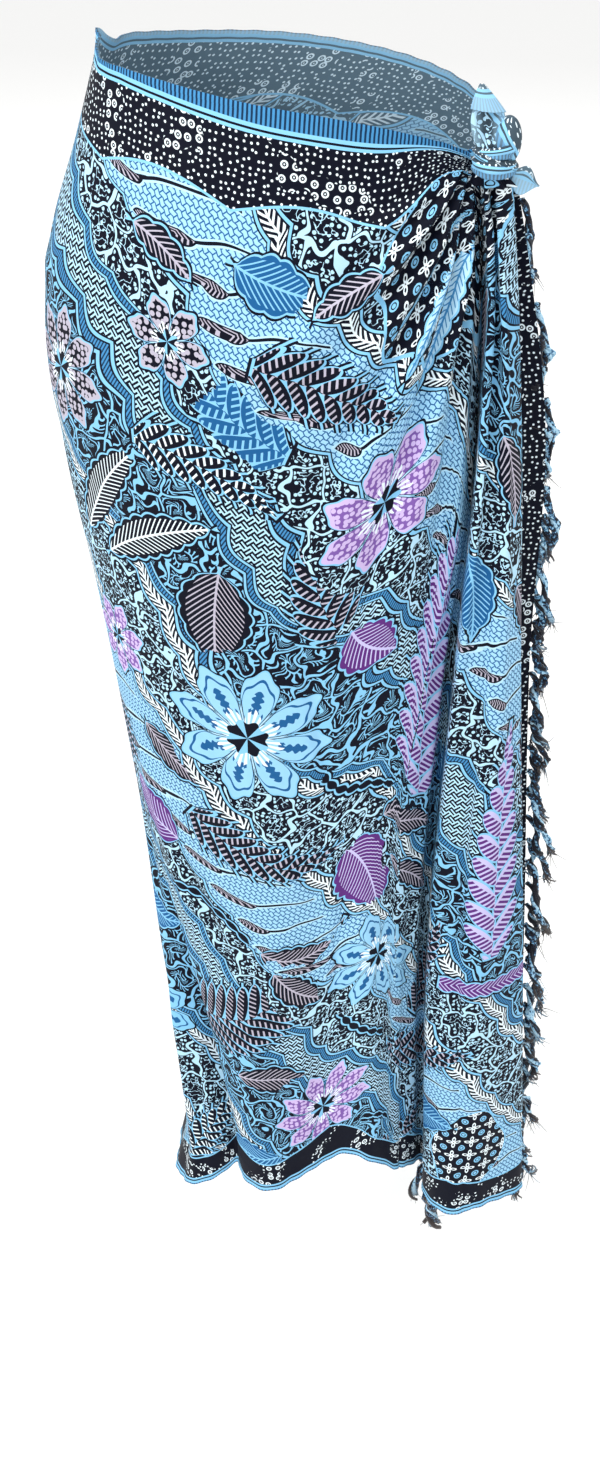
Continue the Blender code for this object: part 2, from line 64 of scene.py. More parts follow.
camera_data = bpy.data.cameras.new("camera")
camera_data.lens = CAMERA_LENS
camera_data.sensor_width = 36.0
camera = bpy.data.objects.new("camera", camera_data)
camera.location = CAMERA_PLACE
camera.rotation_euler = (math.radians(90.0 - CAMERA_PITCH), 0.0, 0.0)
bpy.context.scene.collection.objects.link(camera)
bpy.context.scene.camera = camera
print("camera at", CAMERA_PLACE, "looking down", CAMERA_PITCH, "degrees")

# %% [markdown]
# ## Sizes of the hanging tube
# Cloth that hangs round a waist is a tube whose section changes slowly with height. A table of a few level
# sections, with a smooth curve through each column, gives any height in between. The numbers are those of
# the solid model, so that the cloth lies on it, and the finer gathers and creases come on top.

# %% Level sections of the tube
BODY_COLUMNS = ("height", "left", "right", "front", "back", "front_stop")
BODY = (
    (0.03, 0.111, 0.111, 0.08, 0.081, 333),
    (-0.04, 0.132, 0.13, 0.098, 0.098, 328),
    (-0.1, 0.152, 0.146, 0.111, 0.117, 323.5),
    (-0.17, 0.161, 0.155, 0.117, 0.126, 319.5),
    (-0.25, 0.154, 0.156, 0.115, 0.122, 317),
    (-0.35, 0.139, 0.15, 0.108, 0.11, 312.5),
    (-0.5, 0.121, 0.14, 0.096, 0.1, 306.5),
    (-0.65, 0.105, 0.134, 0.083, 0.095, 307.5),
    (-0.8, 0.09, 0.132, 0.07, 0.092, 310),
    (-0.88, 0.09, 0.134, 0.064, 0.092, 311),
    (-0.97, 0.107, 0.136, 0.06, 0.094, 312),
)
LEFT_SIDE = 180.0
BACK_STOP = 8.0
print("tube:", len(BODY), "sections, from", BODY[0][0], "to", BODY[-1][0], "m")

# %% [markdown]
# ## Top edge and hem
# Neither edge of the worn cloth is level. The top slopes down to the knot, and the hem waves where the
# folds lift it. Two more tables give both heights for a share of the way round, which is 0 at the left
# side.

# %% Top edge and hem
EDGE_COLUMNS = ("share", "top", "hem")
FRONT_EDGES = (
    (0, 0.018, -0.953), (0.06, 0.012, -0.951), (0.25, 0.009, -0.936), (0.36, 0.006, -0.921),
    (0.43, 0.003, -0.91), (0.55, -0.003, -0.912), (0.65, -0.008, -0.909), (0.78, -0.017, -0.892),
    (0.86, -0.024, -0.88), (0.94, -0.032, -0.892), (1, -0.04, -0.911),
)
BACK_EDGES = (
    (0, 0.018, -0.953), (0.1, 0.013, -0.957), (0.3, 0.006, -0.962),
    (0.55, 0, -0.966), (0.8, -0.012, -0.96), (1, -0.026, -0.955),
)
print("top edge falls", round(1000 * (FRONT_EDGES[0][1] - FRONT_EDGES[-1][1])), "mm to the knot")

# %% [markdown]
# ## Long folds
# Below the hips the cloth hangs free and falls in long folds that deepen towards the hem. Each is a row:
# where it lies at its start and at the hem, the height it starts from, its width and its depth. A negative
# depth is a valley. Simulated cloth could give such folds too, but a table puts each where the picture
# shows it.

# %% Long folds
FOLD_COLUMNS = ("name", "at_top", "at_hem", "start", "width", "depth")
FRONT_FOLDS = (
    ("side_ridge", 0.04, 0.27, -0.5, 0.085, 0.009),
    ("side_crease", 0.12, 0.425, -0.5, 0.045, -0.015),
    ("shin_roll", 0.44, 0.6, -0.62, 0.09, 0.01),
    ("thigh_dip", 0.76, 0.8, -0.4, 0.07, -0.006),
    ("knee_roll", 0.9, 0.915, -0.45, 0.05, 0.007),
)
BACK_FOLDS = (
    ("seat_side", 0.2, 0.17, -0.36, 0.055, 0.01),
    ("seat_dip", 0.31, 0.29, -0.4, 0.05, -0.009),
    ("centre_roll", 0.47, 0.45, -0.3, 0.06, 0.013),
    ("centre_dip", 0.6, 0.59, -0.34, 0.05, -0.01),
    ("hip_roll", 0.73, 0.75, -0.28, 0.06, 0.012),
    ("hip_dip", 0.86, 0.88, -0.3, 0.045, -0.009),
)
FOLD_GROWTH = 1.6
print("long folds:", len(FRONT_FOLDS), "in front,", len(BACK_FOLDS), "at the back")

# %% [markdown]
# ## Gathers from the knot
# The knot draws the front together, so ridges spread from it like rays. A row gives a ray's lean below the
# level in degrees, how far it reaches in metres, how wide it spreads in degrees, and its depth.

# %% Gathers
GATHER_COLUMNS = ("lean", "reach", "spread", "depth")
GATHERS = (
    (14, 0.17, 5.5, 0.0035),
    (28, 0.3, 6, 0.0055),
    (43, 0.24, 6, 0.0045),
    (57, 0.34, 5.5, 0.0065),
    (70, 0.36, 5, 0.006),
)
GATHER_SAG = 40.0
GATHER_FADE = 0.6
GATHER_ROOT = 0.085
FRONT_ARC = 0.40
print("wide gathers:", len(GATHERS), "deepest", 1000 * max(row[3] for row in GATHERS), "mm")

# %% [markdown]
# ## The two ends
# From the knot the outer end falls in front: a deep valley, a ridge, a flat face and a strip that turns
# back. The under end lies behind. Their sections are listed: each row holds a height in metres and then
# the points of a level section in millimetres.

# %% Sections of the two ends
FRONT_END = (
    (-0.053, (114.5, -55), (117, -56), (118.5, -74), (122.5, -66), (127, -75),
     (135, -69), (133, -62), (128, -59.5), (132, -54), (139, -56)),
    (-0.11, (119, -65), (120.5, -61), (122.5, -88), (126.5, -79), (132, -87),
     (141, -77), (138, -69), (131, -65), (138, -57), (151, -58)),
    (-0.2, (120, -69), (123.5, -62), (122, -93), (129, -86), (139, -92),
     (149, -78), (146, -68), (137, -63), (149, -54), (167, -53)),
    (-0.4, (105, -66), (116.5, -49), (116, -80), (131, -83), (147, -86),
     (163, -66), (159, -54), (140, -49), (153, -38), (173, -37)),
    (-0.65, (96, -50), (109, -33), (108.5, -62), (126, -73), (150, -78),
     (181.5, -54), (176.5, -41), (145, -36), (161, -24), (187, -28)),
    (-0.95, (103, -32), (117.5, -13), (117, -48), (139, -70), (166, -62),
     (201, -41), (196, -26), (151, -20), (169, -6), (202, -12)),
)
FRONT_END_EDGES = (
    (0, -0.04, -0.911), (0.1, -0.047, -0.92), (0.2, -0.055, -0.934), (0.3, -0.0545, -0.94),
    (0.4, -0.054, -0.942), (0.5, -0.054, -0.938), (0.6, -0.054, -0.943), (0.8, -0.054, -0.948),
    (1, -0.054, -0.95),
)
UNDER_END = (
    (-0.02, (129, -10), (125, -28), (117, -39), (106, -43)),
    (-0.09, (144, -10), (139, -32), (127, -46), (111, -52)),
    (-0.2, (153, -10), (145, -33), (127, -45), (107, -50)),
    (-0.4, (146, -5), (137, -20), (121, -26), (102, -27)),
    (-0.65, (133, -2), (130, -9), (123, -12), (110, -12)),
    (-0.97, (139, 2), (140, -2), (140, -6), (137, -10)),
)
UNDER_END_EDGES = ((0.00, -0.0260, -0.955), (0.50, -0.0330, -0.962), (1.00, -0.0400, -0.982))
MILLIMETRE = 0.001
print("end sections:", len(FRONT_END), "outer,", len(UNDER_END), "under")

# %% [markdown]
# ## Curves through tables
# A cubic curve through a column of a table is all the modelling tool that the tube needs: it is smooth, it
# passes through each stated size, and it is worked out for a whole array of heights at once.

# %% A smooth curve through a table


def smooth(xs, ys, at):
    """A cubic through the points (xs, ys), whose slope at each point is that of its two neighbours."""
    xs, ys = np.asarray(xs, float), np.asarray(ys, float)
    at = np.clip(at, xs[0], xs[-1])
    slope = np.gradient(ys, xs)
    i = np.clip(np.searchsorted(xs, at) - 1, 0, len(xs) - 2)
    step = xs[i + 1] - xs[i]
    t = (at - xs[i]) / step
    low = (1 + 2 * t) * (1 - t) ** 2 * ys[i] + t * (1 - t) ** 2 * step * slope[i]
    return low + t * t * (3 - 2 * t) * ys[i + 1] - t * t * (1 - t) * step * slope[i + 1]


def column(rows, columns, name, at):
    """One named column of a table, read at the values that its first column measures."""
    ordered = sorted(rows)
    k = columns.index(name)
    return smooth([row[0] for row in ordered], [row[k] for row in ordered], at)


print("half width at the hips:", round(float(column(BODY, BODY_COLUMNS, "left", -0.17)), 3))

# %% Named rows and an eased step


def named(columns, rows):
    """The rows of a table, each with its columns by name."""
    return [dict(zip(columns, row)) for row in rows]


def eased(value):
    """0 below 0, 1 above 1, and a smooth step between: 3t^2 - 2t^3."""
    t = np.clip(value, 0.0, 1.0)
    return t * t * (3 - 2 * t)


print("eased half way:", float(eased(0.5)))

# %% [markdown]
# ## Fine gathers
# Real cloth gathers in more and sharper ridges than the plain solid has. One table adds fine ridges and
# valleys a hand's width from the knot, and another short ones right beside it.

# %% Fine gathers
FINE_GATHERS = (
    (10, 0.17, 2.4, -0.003),
    (14.5, 0.18, 2.8, 0.0026),
    (23, 0.23, 2.5, -0.0042),
    (28, 0.23, 2.8, 0.0034),
    (37, 0.27, 2.5, -0.0048),
    (42, 0.27, 2.8, 0.0036),
    (50.5, 0.35, 2.3, -0.0054),
    (55.5, 0.35, 2.6, 0.004),
    (64, 0.42, 2.1, -0.0056),
    (68.5, 0.42, 2.4, 0.0042),
    (76, 0.48, 1.9, -0.005),
    (80, 0.46, 2.2, 0.0038),
)
FINE_ROOT = 0.075
NEAR_GATHERS = (
    (13, 0.1, 5, -0.0026),
    (24, 0.11, 5, 0.0026),
    (35, 0.115, 5, -0.0034),
    (46, 0.12, 5, 0.003),
    (57, 0.125, 5, -0.0038),
    (67, 0.13, 4.5, 0.0034),
    (77, 0.13, 4, -0.0036),
)
NEAR_ROOT = 0.022
FINE_FADE = 0.75
print("gathers:", len(GATHERS), "wide and", len(FINE_GATHERS) + len(NEAR_GATHERS), "fine")

# %% [markdown]
# ## Creases
# Worn rayon keeps soft creases. Each is a row: its middle as a share of the width and a height, its
# length, width and turn from the level in degrees, and its depth. They could come from a noise, but noise
# looks like crumpled paper, and these run as the cloth is pulled. The outer end has narrow folds all the
# way down instead.

# %% Creases
CREASE_COLUMNS = ("share", "height", "long", "wide", "turn", "depth")
FRONT_CREASES = (
    (0.1, -0.115, 0.11, 0.011, 8, 0.0016),
    (0.22, -0.26, 0.15, 0.014, -24, -0.0014),
    (0.38, -0.335, 0.17, 0.015, -31, 0.0015),
    (0.52, -0.455, 0.16, 0.01, -52, -0.0032),
    (0.66, -0.52, 0.14, 0.012, -63, 0.0034),
    (0.3, -0.56, 0.18, 0.014, -70, 0.0034),
    (0.12, -0.6, 0.12, 0.012, -80, -0.0034),
    (0.84, -0.64, 0.15, 0.009, 84, -0.0044),
    (0.56, -0.72, 0.11, 0.013, -76, 0.0034),
    (0.72, -0.8, 0.1, 0.012, 88, 0.003),
    (0.2, -0.8, 0.17, 0.01, -82, 0.0052),
    (0.9, -0.82, 0.09, 0.01, 86, -0.0044),
    (0.13, -0.83, 0.15, 0.008, -86, -0.0052),
    (0.27, -0.85, 0.12, 0.009, -80, -0.004),
    (0.42, -0.6, 0.12, 0.008, -58, -0.0026),
    (0.76, -0.42, 0.15, 0.008, -74, -0.0034),
)
BACK_CREASES = (
    (0.12, -0.14, 0.12, 0.012, -12, 0.0016),
    (0.3, -0.24, 0.16, 0.014, 20, -0.0016),
    (0.52, -0.19, 0.14, 0.013, 9, 0.0015),
    (0.7, -0.33, 0.15, 0.013, 44, -0.0018),
    (0.4, -0.47, 0.17, 0.014, 72, 0.0022),
    (0.16, -0.56, 0.15, 0.012, 84, -0.0024),
    (0.82, -0.6, 0.14, 0.012, 82, 0.0024),
    (0.6, -0.76, 0.13, 0.012, 86, -0.0028),
    (0.26, -0.8, 0.12, 0.011, 88, 0.0028),
    (0.9, -0.86, 0.09, 0.01, 85, 0.0026),
)
print("creases:", len(FRONT_CREASES), "in front,", len(BACK_CREASES), "at the back")

# %% [markdown]
# ## Front and back of the tube
# Each point starts on an ellipse that has its own half width on each side. The folds, gathers and creases
# then push it outwards. A gather is a ridge along a ray from the knot: it has its full height a hand's
# width away and fades before the middle of the front. All of it works on whole arrays of points at once.

# %% A point on the ring


def ring_point(angle, height):
    """x, y of the tube at an angle in degrees, and the way outwards there: an ellipse with its own half
    width on each side."""
    c, s = np.cos(np.radians(angle)), np.sin(np.radians(angle))
    sides = [column(BODY, BODY_COLUMNS, name, height) for name in ("left", "right", "front", "back")]
    wide = np.where(c < 0, sides[0], sides[1])
    deep = np.where(s < 0, sides[2], sides[3])
    out_x, out_y = c / wide, s / deep
    size = np.hypot(out_x, out_y)
    return wide * c, deep * s, out_x / size, out_y / size


print("hips at the right:", np.round(ring_point(0.0, -0.17)[0], 3), "m")

# %% Folds, gathers and creases


def hanging_folds(folds, share, height, hem):
    """Long folds: a bell curve across each, growing from its start to the hem."""
    push = np.zeros_like(height)
    for fold in named(FOLD_COLUMNS, folds):
        down = np.clip((fold["start"] - height) / (fold["start"] - hem), 0.0, 1.0)
        centre = fold["at_top"] + (fold["at_hem"] - fold["at_top"]) * down
        bell = np.exp(-(((share - centre) / fold["width"]) ** 2))
        push += fold["depth"] * eased(FOLD_GROWTH * down) * bell
    return push


def knot_gathers(share, height, rows, root, fade_by):
    """Gathers: a bell curve across each ray from the knot, in degrees of lean. Rays sag as they run out."""
    along = (1.0 - share) * FRONT_ARC
    drop = FRONT_EDGES[-1][1] - height
    away = np.hypot(along, drop)
    lean = np.degrees(np.arctan2(drop, along + 1e-6))
    push = np.zeros_like(height)
    for gather in named(GATHER_COLUMNS, rows):
        ray = gather["lean"] + GATHER_SAG * away
        fade = eased(away / root) * eased((1.0 - away / gather["reach"]) / fade_by)
        push += gather["depth"] * fade * np.exp(-(((lean - ray) / gather["spread"]) ** 2))
    return push


def creases(rows, share, height, arc):
    """Soft creases by hand: a bell curve along and across each, turned so many degrees from the level."""
    push = np.zeros_like(height)
    for crease in named(CREASE_COLUMNS, rows):
        turn = math.radians(crease["turn"])
        x, z = (share - crease["share"]) * arc, height - crease["height"]
        along = (x * math.cos(turn) + z * math.sin(turn)) / crease["long"]
        across = (z * math.cos(turn) - x * math.sin(turn)) / crease["wide"]
        push += crease["depth"] * np.exp(-(across**2) - (2.0 * along) ** 4)
    return push


probe = knot_gathers(np.linspace(0.5, 1.0, 50), np.full(50, -0.15), GATHERS, GATHER_ROOT, GATHER_FADE)
print("wide gathers push", round(1000 * float(probe.max()), 1), "mm at a height of -0.15 m")

# %% Front and back panels


def panel(share, down, side):
    """The front or the back of the tube. share is 0 at the left side, down is 0 at the top edge."""
    edges = FRONT_EDGES if side == "front" else BACK_EDGES
    top = column(edges, EDGE_COLUMNS, "top", share)
    hem = column(edges, EDGE_COLUMNS, "hem", share)
    height = top + (hem - top) * down
    if side == "front":
        stop = column(BODY, BODY_COLUMNS, "front_stop", height)
        push = hanging_folds(FRONT_FOLDS, share, height, hem)
        push += knot_gathers(share, height, GATHERS, GATHER_ROOT, GATHER_FADE)
        push += knot_gathers(share, height, FINE_GATHERS, FINE_ROOT, FINE_FADE)
        push += knot_gathers(share, height, NEAR_GATHERS, NEAR_ROOT, FINE_FADE)
        push += creases(FRONT_CREASES, share, height, FRONT_ARC)
    else:
        stop = BACK_STOP
        push = hanging_folds(BACK_FOLDS, share, height, hem)
        push += creases(BACK_CREASES, share, height, FRONT_ARC)
    x, y, out_x, out_y = ring_point(LEFT_SIDE + share * (stop - LEFT_SIDE), height)
    return np.stack([x + push * out_x, y + push * out_y, height], axis=-1)


print("middle of the front:", np.round(panel(np.array([0.5]), np.array([0.5]), "front")[0], 3))

# %% [markdown]
# ## Ends of the cloth
# An end starts where the panel before it stops, in the same direction, and then follows its own sections.
# The curve through a section's points is the same cubic as before, with its first slope taken from the
# panel.

# %% Ends of the cloth


def seam_line(points, height):
    """Where a sheet's last column lies at a height, and the level way in which the sheet runs there."""
    edge, run = points[::-1, -1], points[::-1, -1] - points[::-1, -2]
    spot = [np.interp(height, edge[:, 2], edge[:, k]) for k in (0, 1)]
    way = [np.interp(height, edge[:, 2], run[:, k]) for k in (0, 1)]
    return np.array(spot), np.array(way) / np.hypot(way[0], way[1])


def end_sheet(before, rows, edges, share, down):
    """An end of the cloth: a smooth curve through the points of each level section, from the sheet
    before."""
    top = column(edges, EDGE_COLUMNS, "top", share)
    hem = column(edges, EDGE_COLUMNS, "hem", share)
    height = top + (hem - top) * down
    ordered = sorted(rows)
    levels = [row[0] for row in ordered]
    count = len(rows[0]) - 1
    start, way = seam_line(before, height)
    marks = [start]
    for k in range(count):
        places = np.array([row[1 + k] for row in ordered]) * MILLIMETRE
        marks.append([smooth(levels, places[:, axis], height) for axis in (0, 1)])
    marks = np.array(marks)
    slope = np.gradient(marks, axis=0)
    slope[0] = way * np.linalg.norm(marks[1] - marks[0], axis=0)
    at = np.clip(share * count, 0.0, count - 1e-9)
    i = np.floor(at).astype(int)
    t = at - i
    rows_at, columns_at = np.indices(share.shape)
    pick = lambda table, k, axis: table[k, axis, rows_at, columns_at]
    spot = [
        (1 + 2 * t) * (1 - t) ** 2 * pick(marks, i, axis)
        + t * (1 - t) ** 2 * pick(slope, i, axis)
        + t * t * (3 - 2 * t) * pick(marks, i + 1, axis)
        - t * t * (1 - t) * pick(slope, i + 1, axis)
        for axis in (0, 1)
    ]
    return np.stack([spot[0], spot[1], height], axis=-1)


print("points in a section:", len(FRONT_END[0]) - 1, "outer,", len(UNDER_END[0]) - 1, "under")

# %% [markdown]
# ## Grids of the four stretches
# All four stretches use the same steps from the top edge to the hem, so that neighbours meet point for
# point. The first and last rows are closer together: they make the narrow rolled hem along both long
# edges.

# %% Grids
HEM_STEPS = (0.0, 0.0005, 0.0012, 0.0034, 0.0042, 0.0052)
CLOTH_LONG = 0.95
ROW_CROWD, FRONT_CROWD = 0.42, -0.60
ROWS, FRONT_COLUMNS, END_COLUMNS, BACK_COLUMNS, UNDER_COLUMNS = 266, 172, 132, 112, 36


def spaced(count, crowd=0.0):
    """count steps from 0 to 1, crowded towards 0 by a positive crowd and towards 1 by a negative one."""
    t = np.linspace(0.0, 1.0, count + 1)
    return t + crowd * (t * t - t)


hem_rows = np.array(HEM_STEPS) / CLOTH_LONG
middle_rows = hem_rows[-1] + (1.0 - 2 * hem_rows[-1]) * spaced(ROWS, ROW_CROWD)
down_rows = np.concatenate([hem_rows[:-1], middle_rows, 1.0 - hem_rows[-2::-1]])

front_share, front_down = np.meshgrid(spaced(FRONT_COLUMNS, FRONT_CROWD), down_rows)
back_share, back_down = np.meshgrid(spaced(BACK_COLUMNS), down_rows)
end_share, end_down = np.meshgrid(spaced(END_COLUMNS), down_rows)
under_share, under_down = np.meshgrid(spaced(UNDER_COLUMNS), down_rows)

grids = {"front": panel(front_share, front_down, "front"), "back": panel(back_share, back_down, "back")}
grids["end"] = end_sheet(grids["front"], FRONT_END, FRONT_END_EDGES, end_share, end_down)
print("rows from top to hem:", len(down_rows))

# %% [markdown]
# ## Corner at the left side
# At the left side the top edge stands up in a small soft wave, where the cloth is pulled round the waist.
# It is the sum of two bell curves along the edge, one up and one down, and it dies away within a finger's
# width below.

# %% Corner at the left side
CORNER_WAVES = ((0.040, 0.032, 1.0), (0.120, 0.036, -0.8))
CORNER_UP, CORNER_OUT, CORNER_FADE, CORNER_START = 0.0040, 0.0022, 0.014, 0.030

corner_fade = np.exp(-np.clip(grids["back"][:1, :, 2] - grids["back"][..., 2], 0, 1) / CORNER_FADE)
corner_wave = sum(high * np.exp(-(((back_share - at) / wide) ** 2)) for at, wide, high in CORNER_WAVES)
corner_push = corner_wave * corner_fade * eased(back_share / CORNER_START)
grids["back"][..., 2] += CORNER_UP * corner_push
grids["back"][..., 0] -= CORNER_OUT * corner_push
print("corner stands up", round(1000 * CORNER_UP * float(corner_push.max()), 1), "mm")

# %% [markdown]
# ## Narrow folds of the outer end
# The outer end hangs in narrow folds that sway a little and come and go on their way down. Each is a bell
# curve across the width, with a sine for its sway and another for its strength. The push goes square to
# the surface.

# %% Narrow folds of the outer end
FLAP_COLUMNS = ("share", "sway", "width", "depth")
FLAP_FOLDS = (
    (0.055, 0.01, 0.014, -0.003),
    (0.12, 0.014, 0.018, 0.0026),
    (0.255, 0.012, 0.016, -0.003),
    (0.33, 0.016, 0.018, 0.0026),
    (0.43, 0.014, 0.014, -0.0032),
    (0.5, 0.012, 0.016, 0.0024),
)

flap_push = np.zeros_like(end_share)
for fold in named(FLAP_COLUMNS, FLAP_FOLDS):
    centre = fold["share"] + fold["sway"] * np.sin(7.0 * end_down + 60.0 * fold["share"])
    strength = (0.55 + 0.45 * np.sin(5.0 * end_down + 40.0 * fold["share"])) * eased(end_down / 0.03)
    flap_push += fold["depth"] * strength * np.exp(-(((end_share - centre) / fold["width"]) ** 2))
flap_way = np.cross(np.gradient(grids["end"], axis=0), np.gradient(grids["end"], axis=1))
flap_way /= np.linalg.norm(flap_way, axis=-1, keepdims=True)
grids["end"] += flap_push[..., None] * flap_way
grids["under"] = end_sheet(grids["back"], UNDER_END, UNDER_END_EDGES, under_share, under_down)
for name, points in grids.items():
    print(name, points.shape[:2], "points")

# %% [markdown]
# ## Flat cloth coordinates
# A print belongs to the flat cloth, not to the shape that it hangs in. So every point gets its place on
# the cloth in millimetres: how far along the length, how far below the top edge, how far above the hem,
# and how far from the fringed end. They come from real distances measured along the grid's rows and
# columns, so that no motif is stretched. Near the knot the top border runs together, as gathered cloth
# does.

# %% Measure the cloth
FRONT_MIDDLE_MM = 600.0
PINCH_MM, PINCH_WIDE, PINCH_DEEP = 62.0, 0.055, 0.014
TURNED_IN, TURNED_FROM_MM, TURNED_OVER_MM = 0.009, 430.0, 170.0
MM_IN_METRE = 1000.0


def along_rows(points):
    """Distance along each row from its first point: the sum of the steps."""
    steps = np.linalg.norm(np.diff(points, axis=1), axis=-1)
    return np.concatenate([np.zeros((len(points), 1)), np.cumsum(steps, axis=1)], axis=1)


def down_columns(points):
    """Distance down each column from the top edge."""
    return along_rows(points.transpose(1, 0, 2)).T


runs = {name: along_rows(points) for name, points in grids.items()}
falls = {name: down_columns(points) for name, points in grids.items()}
middle = FRONT_COLUMNS // 2
u_front = runs["front"] - runs["front"][:, middle : middle + 1]
u_end = u_front[:, -1:] + runs["end"]
u_back = u_front[:, :1] - runs["back"]
u_under = u_back[:, -1:] - runs["under"]
print("round the waist:", round(float(u_end[0, -1] - u_under[0, -1]), 3), "m of cloth")

# %% [markdown]
# ## Down the cloth
# The other coordinate is measured down each column. Near the knot 62 mm of the cloth's width is drawn
# together, so the coordinate runs ahead there. At the left side the top edge is turned in by up to 9 mm.

# %% Flat coordinates
flat = {}
for name, u in (("front", u_front), ("end", u_end), ("back", u_back), ("under", u_under)):
    to_end = (u_end[:, -1:] - u) if name in ("front", "end") else (u - u_under[:, -1:])
    v = falls[name].copy()
    if name == "front":
        along = (1.0 - front_share) * FRONT_ARC
        v += PINCH_MM * MILLIMETRE * np.exp(-((along / PINCH_WIDE) ** 2)) * (1 - np.exp(-v / PINCH_DEEP))
    if name == "end":
        v += PINCH_MM * MILLIMETRE
    v += TURNED_IN * (1.0 - eased((u * MM_IN_METRE + FRONT_MIDDLE_MM - TURNED_FROM_MM) / TURNED_OVER_MM))
    above_hem = falls[name][-1:] - falls[name]
    flat[name] = np.stack([u, v, above_hem, to_end], axis=-1) * MM_IN_METRE + (FRONT_MIDDLE_MM, 0.0, 0.0, 0.0)
    print(name, "runs", np.round(np.ptp(u, axis=1)[[0, len(u) // 3, -1]], 3), "m at top, hips and hem")

# %% [markdown]
# ## Motifs
# The print is a wax-resist design: diagonal bands of small fillers, with flowers, leaves and feathery
# sprays on top, each outlined in pale blue. A motif is laid out on the flat cloth in a table. For
# each point of the cloth that one reaches, its own coordinates are kept: along and across the stem of a
# spray or leaf, or from the middle of a flower. The material turns them into veins, leaflets and petals.
# The layout and the motifs are made up for this model, in the way of such cloth. Three thin pale leaves by
# the knot lie along the gathers' ridges: a painted highlight on the ridges, drawn like the print.

# %% Motif tables
SPRAY, LEAF, FLOWER, STEM = 1, 2, 3, 4
# The seventh paint is for pale streaks along the gathers' ridges by the knot: a painted highlight.
BLACK, PURPLE, BLUE, PALE_BLUE, LILAC, WHITE, RIDGE_HIGHLIGHT = 1, 2, 3, 4, 5, 6, 7
REPEAT_MM = 690.0
MOTIF_MARGIN = 7.0

